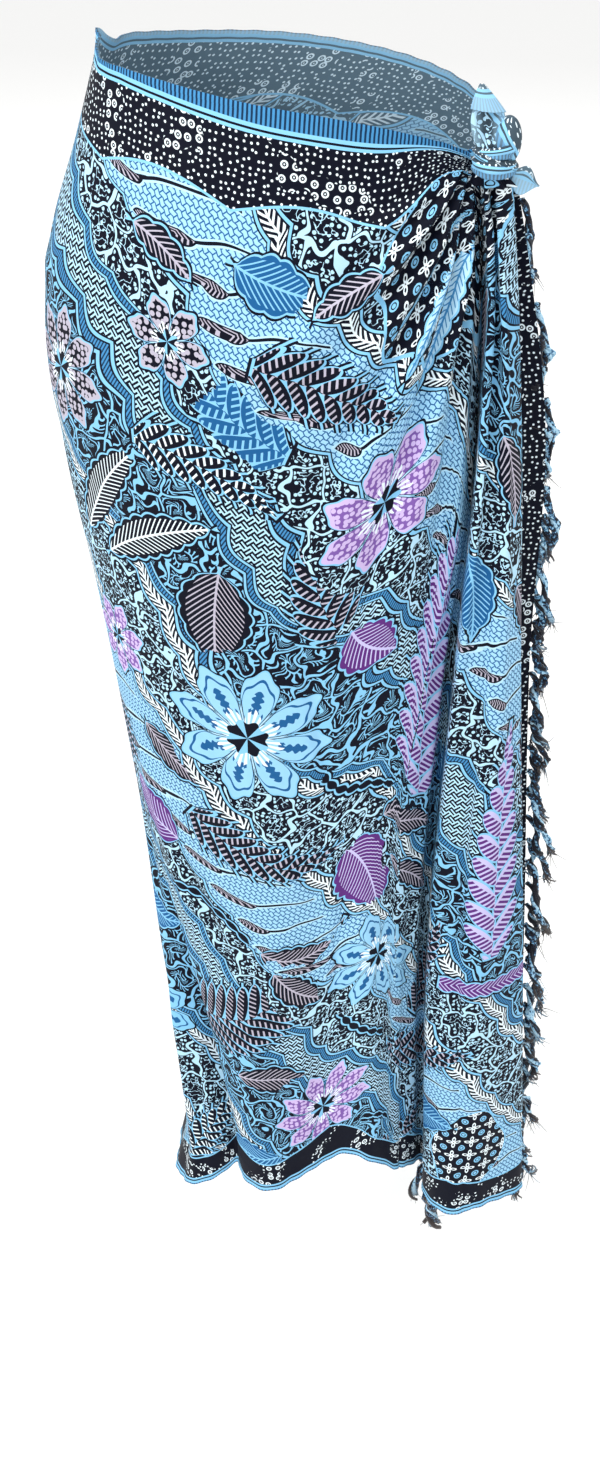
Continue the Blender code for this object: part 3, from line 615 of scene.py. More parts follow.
# u, v: where the stem starts, or the middle of a flower. long: the stem's length, or the flower's radius.
# wide: half width, or the number of petals. turn: degrees, 0 to the right and 90 down. bend: how many degrees
# the stem turns on its way.
MOTIF_COLUMNS = ("family", "paint", "u", "v", "long", "wide", "turn", "bend")
MOTIFS = (
    (STEM, BLACK, 470, 640, 150, 2.6, -60, 130),
    (STEM, BLACK, 640, 470, 120, 2.6, 70, -80),
    (STEM, BLACK, 700, 780, 110, 2.6, 200, 90),
    (STEM, BLACK, 930, 500, 120, 2.6, 100, -70),
    (SPRAY, BLACK, 520, 745, 180, 34, -24, -30),
    (SPRAY, BLACK, 440, 470, 120, 26, 62, 24),
    (SPRAY, BLUE, 600, 205, 110, 23, -160, 50),
    (SPRAY, PURPLE, 428, 905, 150, 22, -100, 26),
    (SPRAY, BLACK, 560, 905, 150, 24, -30, -50),
    (SPRAY, BLACK, 980, 330, 140, 24, 96, 20),
    (LEAF, WHITE, 450, 315, 98, 15, -72, 26),
    (LEAF, WHITE, 474, 322, 96, 15, -46, 24),
    (LEAF, BLACK, 560, 300, 74, 26, 96, -14),
    (LEAF, PURPLE, 660, 560, 84, 24, 62, 20),
    (LEAF, PURPLE, 525, 560, 60, 20, 200, 30),
    (LEAF, BLUE, 560, 92, 52, 17, 22, -20),
    # Three thin pale leaves run from the knot down the gathers' ridges: a painted highlight on the ridges.
    (LEAF, RIDGE_HIGHLIGHT, 744, 100, 84, 6, 147, 10),
    (LEAF, RIDGE_HIGHLIGHT, 736, 118, 84, 5, 131, 8),
    (LEAF, RIDGE_HIGHLIGHT, 752, 114, 104, 7, 119, 8),
    (LEAF, BLACK, 492, 88, 46, 10, 12, 30),
    (LEAF, BLACK, 650, 92, 46, 11, 165, -30),
    (LEAF, BLACK, 820, 120, 60, 12, 100, 20),
    (LEAF, WHITE, 745, 420, 74, 17, 128, -24),
    (LEAF, BLACK, 590, 640, 60, 14, 24, -40),
    (LEAF, BLACK, 600, 660, 60, 14, 60, -30),
    (LEAF, BLUE, 760, 860, 70, 20, -30, 40),
    (LEAF, BLUE, 735, 480, 66, 14, 16, 60),
    (LEAF, BLUE, 905, 285, 80, 18, 80, -20),
    (LEAF, BLACK, 845, 330, 56, 12, 60, 20),
    (LEAF, BLUE, 990, 560, 90, 18, 84, 20),
    (LEAF, BLUE, 1010, 880, 80, 18, -120, 30),
    (LEAF, BLUE, 600, 870, 60, 16, 160, 20),
    (SPRAY, BLACK, 575, 150, 112, 21, 8, 40),
    (LEAF, BLUE, 905, 150, 62, 16, 80, 20),
    (FLOWER, LILAC, 968, 205, 36, 8, 0, 0),
    (SPRAY, BLACK, 1045, 110, 140, 20, 96, -16),
    (SPRAY, WHITE, 498, 222, 104, 18, -6, 44),
    (SPRAY, BLACK, 648, 350, 120, 21, -128, 60),
    (LEAF, BLACK, 838, 215, 64, 14, 70, 30),
    (SPRAY, PURPLE, 1010, 420, 150, 18, -84, -20),
    (LEAF, PURPLE, 652, 352, 58, 16, 70, -30),
    (LEAF, BLUE, 800, 300, 66, 17, 74, 24),
    (SPRAY, BLACK, 858, 540, 150, 22, -84, 24),
    (LEAF, BLACK, 498, 462, 62, 14, 40, -34),
    (SPRAY, BLACK, 1055, 430, 130, 20, 96, -18),
    (SPRAY, BLACK, 540, 520, 124, 22, 32, -36),
    (LEAF, BLACK, 690, 552, 60, 13, -28, 50),
    (LEAF, BLACK, 700, 590, 60, 13, 6, 44),
    (LEAF, WHITE, 845, 560, 84, 15, 96, -22),
    (LEAF, BLUE, 430, 655, 72, 17, 30, -34),
    (SPRAY, BLACK, 740, 748, 136, 23, -48, -30),
    (LEAF, BLACK, 565, 782, 68, 15, -12, 34),
    (SPRAY, BLACK, 705, 790, 140, 21, 4, -34),
    (SPRAY, WHITE, 478, 960, 136, 21, -78, 40),
    (SPRAY, BLACK, 690, 985, 150, 22, -80, 44),
    (SPRAY, BLUE, 948, 985, 124, 21, -84, 26),
    (LEAF, BLACK, 525, 972, 66, 15, -34, 26),
    (LEAF, BLACK, 602, 955, 62, 14, 14, -34),
    (FLOWER, BLUE, 790, 955, 34, 7, 0, 0),
    (LEAF, BLACK, 862, 1010, 66, 14, -70, 34),
    (LEAF, BLUE, 1055, 970, 74, 17, -116, 26),
    (SPRAY, BLACK, 1040, 700, 120, 20, -100, 24),
    (STEM, BLACK, 455, 560, 90, 2.4, 120, -150),
    (STEM, BLACK, 640, 905, 100, 2.4, -70, 130),
    (FLOWER, PALE_BLUE, 585, 430, 60, 8, 10, 0),
    (FLOWER, PALE_BLUE, 690, 690, 46, 8, 30, 0),
    (FLOWER, LILAC, 668, 262, 46, 7, 0, 0),
    (FLOWER, LILAC, 640, 830, 44, 9, 14, 0),
    (FLOWER, LILAC, 470, 400, 32, 7, 30, 0),
    (FLOWER, BLACK, 430, 200, 42, 8, 8, 0),
    (FLOWER, BLACK, 520, 150, 27, 6, 8, 0),
    (FLOWER, BLUE, 460, 765, 38, 7, 20, 0),
    (FLOWER, PALE_BLUE, 940, 440, 40, 8, 0, 0),
    (FLOWER, LILAC, 1000, 800, 34, 8, 0, 0),
    (FLOWER, BLACK, 1010, 720, 36, 8, 0, 0),
    (SPRAY, PURPLE, 728, 520, 220, 29, -96, 16),
    (SPRAY, PURPLE, 848, 660, 220, 25, -92, 3),
    (STEM, PURPLE, 806, 690, 130, 7, 2, -4),
)
print("motifs in one repeat:", len(MOTIFS))

# %% [markdown]
# ## Coordinates along a stem
# A spray, a leaf and a stem bend, so their own coordinates bend with them. The stem is a row of short
# straight steps. A point takes the nearest step and measures how far it lies along it and across it. A
# flower needs no more than a turn about its middle.

# %% Coordinates of one motif
STEM_SAMPLES = 48


def stem_line(motif, start):
    """Points and headings along a stem whose heading turns evenly: sums of short straight steps."""
    t = np.linspace(0.0, 1.0, STEM_SAMPLES)
    heading = np.radians(motif["turn"] + motif["bend"] * t)
    step = motif["long"] / (STEM_SAMPLES - 1)
    way = np.stack([np.cos(heading), np.sin(heading)], axis=-1)
    return start + np.concatenate([np.zeros((1, 2)), np.cumsum(way[:-1] * step, axis=0)]), way


def stem_coordinates(motif, start, places):
    """Distance along the stem and across it, both measured from its nearest sample."""
    line, way = stem_line(motif, start)
    nearest = np.argmin(((places[:, None] - line[None]) ** 2).sum(axis=-1), axis=1)
    off, ahead = places - line[nearest], way[nearest]
    along = nearest * motif["long"] / (STEM_SAMPLES - 1) + (off * ahead).sum(axis=-1)
    across = off[:, 1] * ahead[:, 0] - off[:, 0] * ahead[:, 1]
    return along, across


def flower_coordinates(motif, start, places):
    """Distances along and across from a flower's middle, turned as the flower is."""
    turn = math.radians(motif["turn"])
    x, y = (places - start).T
    return x * math.cos(turn) + y * math.sin(turn), y * math.cos(turn) - x * math.sin(turn)


def outline(family, along, long, wide):
    """Half width along a motif: a lens for a leaf, a slow taper for a spray, even for a stem."""
    t = np.clip(along / long, 0.0, 1.0)
    if family == LEAF:
        return wide * np.sin(np.pi * t**0.85) ** 0.8
    if family == SPRAY:
        return wide * (1.0 - t**2.2) * eased(0.35 + t / 0.25)
    return np.full_like(t, wide)


print("half width near a leaf's middle:", np.round(outline(LEAF, np.array([44.0]), 100.0, 15.0), 1), "mm")

# %% [markdown]
# ## Which motif covers a point
# Every motif is tried in the table's order, in five repeats side by side, and writes its numbers over
# those of the motifs before it. A point next to one of another motif counts as bare ground, because
# nothing may be drawn between two sets of coordinates.

# %% Motif fields
SHIFTS = range(-2, 3)


def beside_another(owner):
    """True at each point whose neighbour in its row or column belongs to another motif."""
    mixed = np.zeros(owner.shape, bool)
    for axis in (0, 1):
        for step in (-1, 1):
            moved = np.roll(owner, step, axis=axis)
            mixed |= (moved != owner) & (moved > 0) & (owner > 0)
    return mixed


def motif_fields(places):
    """For each point: the motif's family and paint, its own two coordinates, its half width there, and its
    length or its number of petals."""
    spots = places[..., :2].reshape(-1, 2)
    fields, owner = np.zeros((len(spots), 5)), np.zeros(len(spots), int)
    rows = [(shift, motif) for shift in SHIFTS for motif in named(MOTIF_COLUMNS, MOTIFS)]
    for number, (shift, motif) in enumerate(rows, 1):
        start = np.array([motif["u"] + shift * REPEAT_MM, motif["v"]])
        far = np.linalg.norm(spots - start, axis=1)
        index = np.flatnonzero(far < motif["long"] + MOTIF_MARGIN + motif["wide"])
        if not len(index):
            continue
        if motif["family"] == FLOWER:
            along, across = flower_coordinates(motif, start, spots[index])
            inside = far[index] < motif["long"] + MOTIF_MARGIN
            width, extra = np.full_like(along, motif["long"]), motif["wide"]
        else:
            along, across = stem_coordinates(motif, start, spots[index])
            width, extra = outline(motif["family"], along, motif["long"], motif["wide"]), motif["long"]
            ends = (along > -MOTIF_MARGIN) & (along < motif["long"] + MOTIF_MARGIN)
            inside = ends & (np.abs(across) < width + MOTIF_MARGIN)
        index = index[inside]
        owner[index] = number
        fields[index, 0] = motif["family"] * 10 + motif["paint"]
        fields[index, 1], fields[index, 2] = along[inside], across[inside]
        fields[index, 3], fields[index, 4] = width[inside], extra
    fields = fields.reshape(places.shape[:2] + (5,))
    fields[beside_another(owner.reshape(places.shape[:2])), 0] = 0.0
    return fields


motif_maps = {name: motif_fields(places) for name, places in flat.items()}
for name, fields in motif_maps.items():
    print(name, "share of cloth near a motif:", round(float((fields[..., 0] > 0).mean()), 2))

# %% [markdown]
# ## From a grid to a thin shell
# Real rayon is about 0.2 mm thick, which is too thin to stand as a solid of its own in a library of parts,
# so each stretch is a closed shell of 0.7 mm: an outer layer, an inner layer and a rim. Its normals are
# worked out on the grid together with the neighbouring stretch, so that no seam shows where two stretches
# meet. Along both long edges the shell thickens over 4 mm, as a narrow double-folded hem does.

# %% Sizes of the shell
HALF_THICK = 0.00035
HEM_EXTRA, HEM_WIDE_MM, HEM_STEP_MM = 0.00045, 3.6, 0.6
HEADER_EXTRA, HEADER_WIDE_MM, HEADER_STEP_MM = 0.00020, 2.5, 1.0
PUCKER_LONG_MM, PUCKER_DEEP, PUCKER_FADE_MM = 17.0, 0.0005, 9.0
print("shell thickness:", 2000 * HALF_THICK, "mm, at the hem", 2000 * (HALF_THICK + HEM_EXTRA), "mm")

# %% Normals and faces of a grid


def surface_normals(points, before, after, sign):
    """Unit normals of a grid: the cross product of central differences, with a neighbour's column beside."""
    first = 2 * points[:, :1] - points[:, 1:2] if before is None else before
    last = 2 * points[:, -1:] - points[:, -2:-1] if after is None else after
    wide = np.concatenate([first, points, last], axis=1)
    across = wide[:, 2:] - wide[:, :-2]
    normal = sign * np.cross(np.gradient(points, axis=0), across)
    return normal / np.linalg.norm(normal, axis=-1, keepdims=True)


def grid_faces(index, flip=False):
    """The four-sided faces between neighbouring points of a grid of vertex numbers."""
    corners = [index[:-1, :-1], index[1:, :-1], index[1:, 1:], index[:-1, 1:]]
    faces = np.stack(corners, axis=-1).reshape(-1, 4)
    return faces[:, ::-1] if flip else faces


print("faces of a 3 by 4 grid:", len(grid_faces(np.arange(12).reshape(3, 4))))

# %% [markdown]
# ## Meshes that carry the cloth's coordinates
# A mesh can hold named numbers for each vertex, called attributes, and a material can read them. So the
# flat place and the motif numbers travel with the cloth however it is bent. The flat place also becomes a
# UV map, which other programs understand.

# %% Meshes and attributes
UV_SPAN_MM = 2000.0


def put_attribute(mesh, name, values):
    """Stores one number or one vector for each vertex."""
    kind, entry = ("FLOAT_VECTOR", "vector") if values.ndim == 2 else ("FLOAT", "value")
    field = mesh.attributes.new(name, kind, "POINT")
    field.data.foreach_set(entry, values.astype(np.float32).ravel())


def make_mesh(name, vertices, faces):
    """A mesh from arrays of vertices and of faces with the same number of corners, shaded smooth."""
    mesh = bpy.data.meshes.new(name)
    mesh.from_pydata(vertices.tolist(), [], faces.tolist())
    mesh.shade_smooth()
    return mesh


def place(name, mesh, material):
    """A new object at the origin, with one material."""
    mesh.materials.append(material)
    piece = bpy.data.objects.new(name, mesh)
    bpy.context.scene.collection.objects.link(piece)
    return piece


def put_cloth_fields(mesh, places, fields, inside):
    """The cloth's own coordinates, in millimetres, and those of its motifs, for the material to read. inside
    is 1 on the cloth's reverse; on a piece of the knot it is how much paler the piece is drawn, which on the
    two tips is partly painted light."""
    put_attribute(mesh, "cloth_mm", places[:, :3])
    put_attribute(mesh, "end_mm", places[:, 3])
    put_attribute(mesh, "motif_kind", fields[:, 0])
    put_attribute(mesh, "motif_mm", fields[:, 1:4])
    put_attribute(mesh, "motif_size", fields[:, 4])
    put_attribute(mesh, "reverse_side_and_painted_light", inside)
    uv = mesh.uv_layers.new(name="cloth")
    corner = np.empty(len(mesh.loops), np.int32)
    mesh.loops.foreach_get("vertex_index", corner)
    uv.data.foreach_set("uv", (places[corner, :2] / UV_SPAN_MM + 0.5).astype(np.float32).ravel())


print("attributes for each cloth vertex:", 6)

# %% A closed shell


def closed_shell(name, points, normal, half, flip=False):
    """A closed thin shell: the grid moved out and in by half its thickness, with a rim round its edges."""
    high, wide = points.shape[:2]
    count = high * wide
    index = np.arange(count).reshape(high, wide)
    ring = np.concatenate([index[0, :-1], index[:-1, -1], index[-1, :0:-1], index[:0:-1, 0]])
    after = np.roll(ring, -1)
    rim = np.stack([ring, after, after + count, ring + count], axis=-1)
    faces = [grid_faces(index, flip), grid_faces(index + count, not flip), rim[:, ::-1] if flip else rim]
    layers = [(points + normal * half).reshape(-1, 3), (points - normal * half).reshape(-1, 3)]
    return make_mesh(name, np.concatenate(layers), np.concatenate(faces))


def cloth_shell(name, points, normal, half, places, fields, flip, material):
    """A stretch of cloth as a closed shell with its coordinates, shaded by the grid's own normals."""
    mesh = closed_shell(name, points, normal, half, flip)
    count = len(mesh.vertices) // 2
    twice = lambda values: np.concatenate([values.reshape(count, -1)] * 2)
    put_cloth_fields(mesh, twice(places), twice(fields), np.repeat((0.0, 1.0), count))
    both = np.concatenate([normal.reshape(-1, 3), -normal.reshape(-1, 3)])
    mesh.normals_split_custom_set_from_vertices(both.tolist())
    return place(name, mesh, material)


print("points in the front's shell:", 2 * grids["front"].shape[0] * grids["front"].shape[1])

# %% [markdown]
# ## Hems and pucker
# Each stretch takes its neighbours' nearest columns for its normals. Then the hems are thickened, and the
# edge is puckered a little by its stitches: a sine along the edge that dies away into the cloth.

# %% Hems and pucker
neighbours = {
    "front": (grids["back"][:, 1:2], grids["end"][:, 1:2], 1.0),
    "end": (grids["front"][:, -2:-1], None, 1.0),
    "back": (grids["front"][:, 1:2], grids["under"][:, 1:2], -1.0),
    "under": (grids["back"][:, -2:-1], None, -1.0),
}
normals = {name: surface_normals(grids[name], *neighbours[name]) for name in grids}
halves = {}
for name, places in flat.items():
    near_hem = np.minimum(falls[name] * 1000, places[..., 2])
    folded = eased((HEM_WIDE_MM + HEM_STEP_MM - near_hem) / HEM_STEP_MM)
    header = eased((HEADER_WIDE_MM + HEADER_STEP_MM - places[..., 3]) / HEADER_STEP_MM)
    halves[name] = (HALF_THICK + HEM_EXTRA * folded + HEADER_EXTRA * header)[..., None]
    beat = np.sin(2 * np.pi * places[..., 0] / PUCKER_LONG_MM)
    pucker = PUCKER_DEEP * np.exp(-near_hem / PUCKER_FADE_MM) * beat
    grids[name] = grids[name] + pucker[..., None] * normals[name]
    print(name, "is", round(2000 * float(halves[name].max()), 2), "mm thick at most")

# %% [markdown]
# ## Print material
# Batik is drawn with wax: where the wax lay, the cloth stays pale, and each dye bath darkens the rest.
# That gives the eye hard-edged flat colours, and a pale line round every form. The cloth is plain-woven
# viscose rayon: soft, with a slight cool sheen. The material works out each filler as light or dark from
# the flat cloth coordinates, then picks two colours for it. Colours are sRGB hex values, turned to linear
# by one function.

# %% Colours
INK = "#04081A"
NAVY = "#12304E"
DEEP = "#1C5C92"
MID = "#458CC0"
SKY = "#86C6EC"
ICE = "#B8E0F6"
MIST = "#A2D4F1"
PETAL = "#97CEEF"
CHALK = "#EAF7FD"
ASH = "#B9B4C4"
PLUM = "#5D2C7A"
VIOLET = "#7E5AA6"
MAUVE = "#CDB8E4"
LAVENDER = "#C6C0EA"


def colour(code):
    """sRGB hex to linear: the lower part is a straight line, the rest a power of 2.4."""
    parts = np.array([int(code[k : k + 2], 16) for k in (1, 3, 5)]) / 255.0
    linear = np.where(parts <= 0.04045, parts / 12.92, ((parts + 0.055) / 1.055) ** 2.4)
    return (*linear.tolist(), 1.0)


print("ink", INK, "is linear", np.round(colour(INK)[:3], 4))

# %% [markdown]
# ## Nodes from a few lines of text
# One function adds any node. The arithmetic of a pattern needs dozens of Math nodes, so it is written as
# short steps, a result and an operation and its terms, and a second function adds a node for each. The
# terms are numbers or the names of earlier results.

# %% Node helpers


def add(tree, kind, *inputs, **settings):
    """Adds a node: its settings first, then its inputs in order, each a value or another node's output.
    None leaves an input as it is."""
    node = tree.nodes.new("ShaderNode" + kind)
    for name, value in settings.items():
        setattr(node, name, value)
    sockets = [socket for socket in node.inputs if socket.enabled]
    for socket, value in zip(sockets, inputs):
        if isinstance(value, bpy.types.NodeSocket):
            tree.links.new(value, socket)
        elif value is not None:
            socket.default_value = value
    return node


def output(node, name=None):
    """A node's named output, or the first that it uses."""
    return node.outputs[name] if name else next(socket for socket in node.outputs if socket.enabled)


def work_out(tree, known, steps):
    """Adds a node for each written step, 'result = OPERATION term term', and keeps its output by name."""
    for step in filter(None, steps.splitlines()):
        name, _, operation, *terms = step.split()
        values = [known[term] if term in known else float(term) for term in terms]
        known[name] = output(add(tree, "Math", *values, operation=operation))


def layer(tree, mask, under, over):
    """One colour over another where the mask is 1. Either is a hex code or a node's output."""
    pair = [colour(paint) if isinstance(paint, str) else paint for paint in (under, over)]
    return output(add(tree, "MixRGB", mask, *pair))


print("node helpers: add, output, work_out, layer")

# %% [markdown]
# ## The bands of the ground
# Between its motifs such a cloth is filled with small repeats, each inside a diagonal band 8 to 68 mm
# wide: a net like brickwork, feather ribbons, speckle, fern spirals, basket weave and fine hatching. A row
# gives a band's filler, its width and its dark and light colour. The sizes follow the real cloth.

# %% Bands of the ground
BAND_TURN = 47.0
BAND_COLUMNS = ("filler", "wide_mm", "dark", "light")
BANDS = (
    ("net", 68.0, DEEP, MIST),
    ("feather", 15.0, INK, CHALK),
    ("speckle", 50.0, INK, ICE),
    ("feather", 15.0, INK, CHALK),
    ("hatch", 8.0, NAVY, MID),
    ("spiral", 66.0, INK, SKY),
    ("hatch", 8.0, NAVY, MID),
    ("basket", 26.0, INK, ICE),
    ("hatch", 8.0, NAVY, MID),
    ("speckle", 42.0, INK, ICE),
)
BAND_PERIOD = sum(band[1] for band in BANDS)
print("bands repeat every", BAND_PERIOD, "mm across the diagonal")

# %% [markdown]
# ## The fillers
# Each filler is a few lines of arithmetic in millimetres, whose last result is 1 where the light colour
# shows. Real wax lines are about half a millimetre wide, less than a pixel of the picture, so they are
# drawn 0.8 to 1.3 mm wide. The net's bricks are 5 by 3.4 mm for the same reason, a little larger than real
# ones.

# %% Along and across the bands
# The flat coordinates turned by the bands' angle.
CLOTH_PLACE = """
v_along = MULTIPLY v {sin}
along = MULTIPLY_ADD u {cos} v_along
v_across = MULTIPLY v -{cos}
across = MULTIPLY_ADD u {sin} v_across
""".format(cos=round(math.cos(math.radians(BAND_TURN)), 4), sin=round(math.sin(math.radians(BAND_TURN)), 4))
print("bands lean", BAND_TURN, "degrees")

# %% Net
# Brickwork on a zigzag: rows 3.4 mm high, bricks 5 mm long, each second row moved by half a brick.
NET = """
net_zig_0 = PINGPONG along 2.75
net_zig = MULTIPLY net_zig_0 0.35
net_line = SUBTRACT across net_zig
net_row = FLOORED_MODULO net_line 3.4
net_a = LESS_THAN net_row 0.8
net_pair = FLOORED_MODULO net_line 6.8
net_flip = GREATER_THAN net_pair 3.4
net_x = MULTIPLY_ADD net_flip 2.5 along
net_b0 = FLOORED_MODULO net_x 5.0
net_b = LESS_THAN net_b0 0.8
net_dark = MAXIMUM net_a net_b
net = SUBTRACT 1 net_dark
"""
print("net steps:", NET.count("="))

# %% Feather and hatching
# A feather ribbon has a rib down its middle and slanted barbs 4.6 mm apart. Hatching is slanted stripes.
FEATHER = """
f_side = ABSOLUTE from_middle
f_lean = MULTIPLY_ADD f_side 1.1 along
f_step = FLOORED_MODULO f_lean 4.6
f_barb = LESS_THAN f_step 2.1
f_in = LESS_THAN f_side 5.6
f_rib = LESS_THAN f_side 0.7
f_on = MULTIPLY f_barb f_in
feather = MAXIMUM f_on f_rib
"""
HATCH = """
hatch_a = MULTIPLY_ADD across 0.35 along
hatch_b = FLOORED_MODULO hatch_a 2.3
hatch = GREATER_THAN hatch_b 1.0
"""
print("feather barbs every", 4.6, "mm, hatching every", 2.3, "mm")

# %% Speckle
# Berries beside the rims of random cells about 24 mm wide, and inside them the level lines of a noise.
SPECKLE = """
speck_rim = LESS_THAN cell_rim 0.045
speck_in = GREATER_THAN cell_rim 0.09
berry_0 = LESS_THAN seed_far 0.30
berry_1 = COMPARE cell_rim 0.16 0.07
berry_2 = MULTIPLY berry_0 berry_1
grain_1 = SUBTRACT grain 0.5
grain_2 = ABSOLUTE grain_1
grain_3 = LESS_THAN grain_2 0.034
grain_4 = GREATER_THAN cell_rim 0.21
grain_5 = MULTIPLY grain_3 grain_4
speck_a = MAXIMUM berry_2 grain_5
speck_b = MULTIPLY speck_a speck_in
speckle = MAXIMUM speck_b speck_rim
"""
print("speckle steps:", SPECKLE.count("="))

# %% Fern spirals
# A coil grows by 8 mm a turn, because its phase is the angle plus the distance over 8. Fifteen ticks a turn
# make it a fern. 0.15915 is one over two pi, and 2.387 is fifteen times that.
SPIRAL = """
coil_r = MULTIPLY cell_far 24
coil_turn = ARCTAN2 cell_y cell_x
coil_phase = MULTIPLY coil_turn 0.15915
coil_ring = MULTIPLY_ADD coil_r 0.125 coil_phase
coil_step = FRACT coil_ring
coil_line = LESS_THAN coil_step 0.15
coil_tick0 = MULTIPLY coil_turn 2.387
coil_tick1 = MULTIPLY_ADD coil_step 1.3 coil_tick0
coil_tick2 = FRACT coil_tick1
coil_tick3 = LESS_THAN coil_tick2 0.32
coil_tick4 = LESS_THAN coil_step 0.66
coil_ticks = MULTIPLY coil_tick3 coil_tick4
coil_rim = LESS_THAN cell_rim 0.05
coil_gap = COMPARE cell_rim 0.08 0.03
coil_a = MAXIMUM coil_line coil_ticks
coil_b = SUBTRACT coil_a coil_gap
spiral = MAXIMUM coil_b coil_rim
"""
print("spiral steps:", SPIRAL.count("="))

# %% Basket weave
# Squares of 5.3 mm with two stripes each, along the band in one square and across it in the next.
BASKET = """
weave_a = MULTIPLY along 0.19
weave_b = MULTIPLY across 0.19
weave_fa = FLOOR weave_a
weave_fb = FLOOR weave_b
weave_sum = ADD weave_fa weave_fb
weave_odd = FLOORED_MODULO weave_sum 2
weave_along = FRACT weave_a
weave_across = FRACT weave_b
weave_pick = SUBTRACT weave_along weave_across
weave_line = MULTIPLY_ADD weave_pick weave_odd weave_across
weave_thin = MULTIPLY weave_line 2
weave_step = FRACT weave_thin
basket = LESS_THAN weave_step 0.46
"""
print("basket squares:", round(1 / 0.19, 1), "mm")

# %% Tendrils
# Over the net hang dark drops, each with a thin curled tail, one every 24 mm down the cloth. A drop is a
# parabola of half width about its middle, its tail a thin line on a sine.
TENDRIL = """
tend_p = MULTIPLY from_middle 1.37
t_0 = MULTIPLY tend_p 0.11
t_1 = SINE t_0
t_2 = MULTIPLY_ADD t_1 2.2 v
t_3 = FLOORED_MODULO t_2 24
t_4 = SUBTRACT t_3 12
tend_q = ABSOLUTE t_4
t_5 = MULTIPLY_ADD tend_p 0.0625 1.5
t_6 = MULTIPLY t_5 t_5
tend_w = MULTIPLY_ADD t_6 -5 5
tend_leaf = SUBTRACT tend_q tend_w
tend_far = SUBTRACT tend_p 8
tend_far_1 = ABSOLUTE tend_far
tend_far_2 = SUBTRACT tend_far_1 26
tend_thin = SUBTRACT tend_q 0.9
tend_tail = MAXIMUM tend_thin tend_far_2
tend_gap = MINIMUM tend_leaf tend_tail
tend_barb_0 = MULTIPLY_ADD tend_q 0.8 tend_p
tend_barb_1 = FLOORED_MODULO tend_barb_0 3.6
tend_barb_2 = LESS_THAN tend_barb_1 1.3
tend_barb_3 = LESS_THAN tend_leaf -1
tend_barb = MULTIPLY tend_barb_2 tend_barb_3
tend_ink = LESS_THAN tend_gap 0
tend_wax = LESS_THAN tend_gap 1.2
"""
print("tendrils every", 24, "mm")

# %% [markdown]
# ## Four-petal crosses
# Two dark patches carry the oldest batik repeat: four-petal crosses with ringed discs between them. One
# patch lies beside the knot and one near the hem of the outer end. The crosses sit on an upright grid of
# 16 mm. A petal is an ellipse drawn as a line, and a disc is 6.4 mm across.

# %% Crosses
CROSSES = """
patch_u0 = SUBTRACT u 410
patch_u = FLOORED_MODULO patch_u0 690
patch_a0 = SUBTRACT patch_u 318
patch_a1 = DIVIDE patch_a0 76
patch_a2 = MULTIPLY patch_a1 patch_a1
patch_b0 = SUBTRACT v 104
patch_b1 = DIVIDE patch_b0 84
patch_b2 = MULTIPLY_ADD patch_b1 patch_b1 patch_a2
patch_c0 = SUBTRACT patch_u 437
patch_c1 = DIVIDE patch_c0 33
patch_c2 = MULTIPLY patch_c1 patch_c1
patch_d0 = SUBTRACT w 72
patch_d1 = DIVIDE patch_d0 45
patch_d2 = MULTIPLY_ADD patch_d1 patch_d1 patch_c2
patch_e = MINIMUM patch_b2 patch_d2
patch_f = SQRT patch_e
patch_g0 = MULTIPLY along 0.12
patch_g1 = SINE patch_g0
patch_g2 = MULTIPLY_ADD patch_g1 0.07 patch_f
patch_on = LESS_THAN patch_g2 1
patch_wax = COMPARE patch_g2 1.01 0.016
cross_a = PINGPONG u 8
cross_b = PINGPONG v 8
cross_hi0 = MAXIMUM cross_a cross_b
cross_hi = SUBTRACT cross_hi0 3.4
cross_lo = MINIMUM cross_a cross_b
cross_r0 = MULTIPLY cross_hi cross_hi
cross_r1 = MULTIPLY cross_r0 0.115
cross_r2 = MULTIPLY cross_lo cross_lo
cross_r = MULTIPLY_ADD cross_r2 0.42 cross_r1
cross_on = COMPARE cross_r 0.62 0.40
disc_a = SUBTRACT 8 cross_a
disc_b = SUBTRACT 8 cross_b
disc_c = MULTIPLY disc_a disc_a
disc_d = MULTIPLY_ADD disc_b disc_b disc_c
disc_e = SQRT disc_d
disc_on = LESS_THAN disc_e 3.2
disc_hole = COMPARE disc_e 1.7 0.35
disc = SUBTRACT disc_on disc_hole
"""
print("cross steps:", CROSSES.count("="))

# %% [markdown]
# ## The ground put together
# A slow noise bends the bands and a sine scallops them. Then each band in turn adds its filler where a
# point lies in it, and its two colours. Last come the tendrils, the wax line between bands and the cross
# patches.

# %% Ground of the print
BAND_WAVES = """
wave_mm = MULTIPLY_ADD wave 46 -23
scallop = MULTIPLY along 0.098
scallop_1 = SINE scallop
scallop_2 = ABSOLUTE scallop_1
scallop_mm = MULTIPLY_ADD scallop_2 5.5 wave_mm
shifted = ADD across scallop_mm
place = FLOORED_MODULO shifted {period}
""".format(period=BAND_PERIOD)
BAND_SUM = """
here = COMPARE place centre half
tone = MULTIPLY_ADD here pattern tone
near_0 = ABSOLUTE from_middle
near_1 = SUBTRACT near_0 half
near_2 = ABSOLUTE near_1
edge = MINIMUM edge near_2
"""


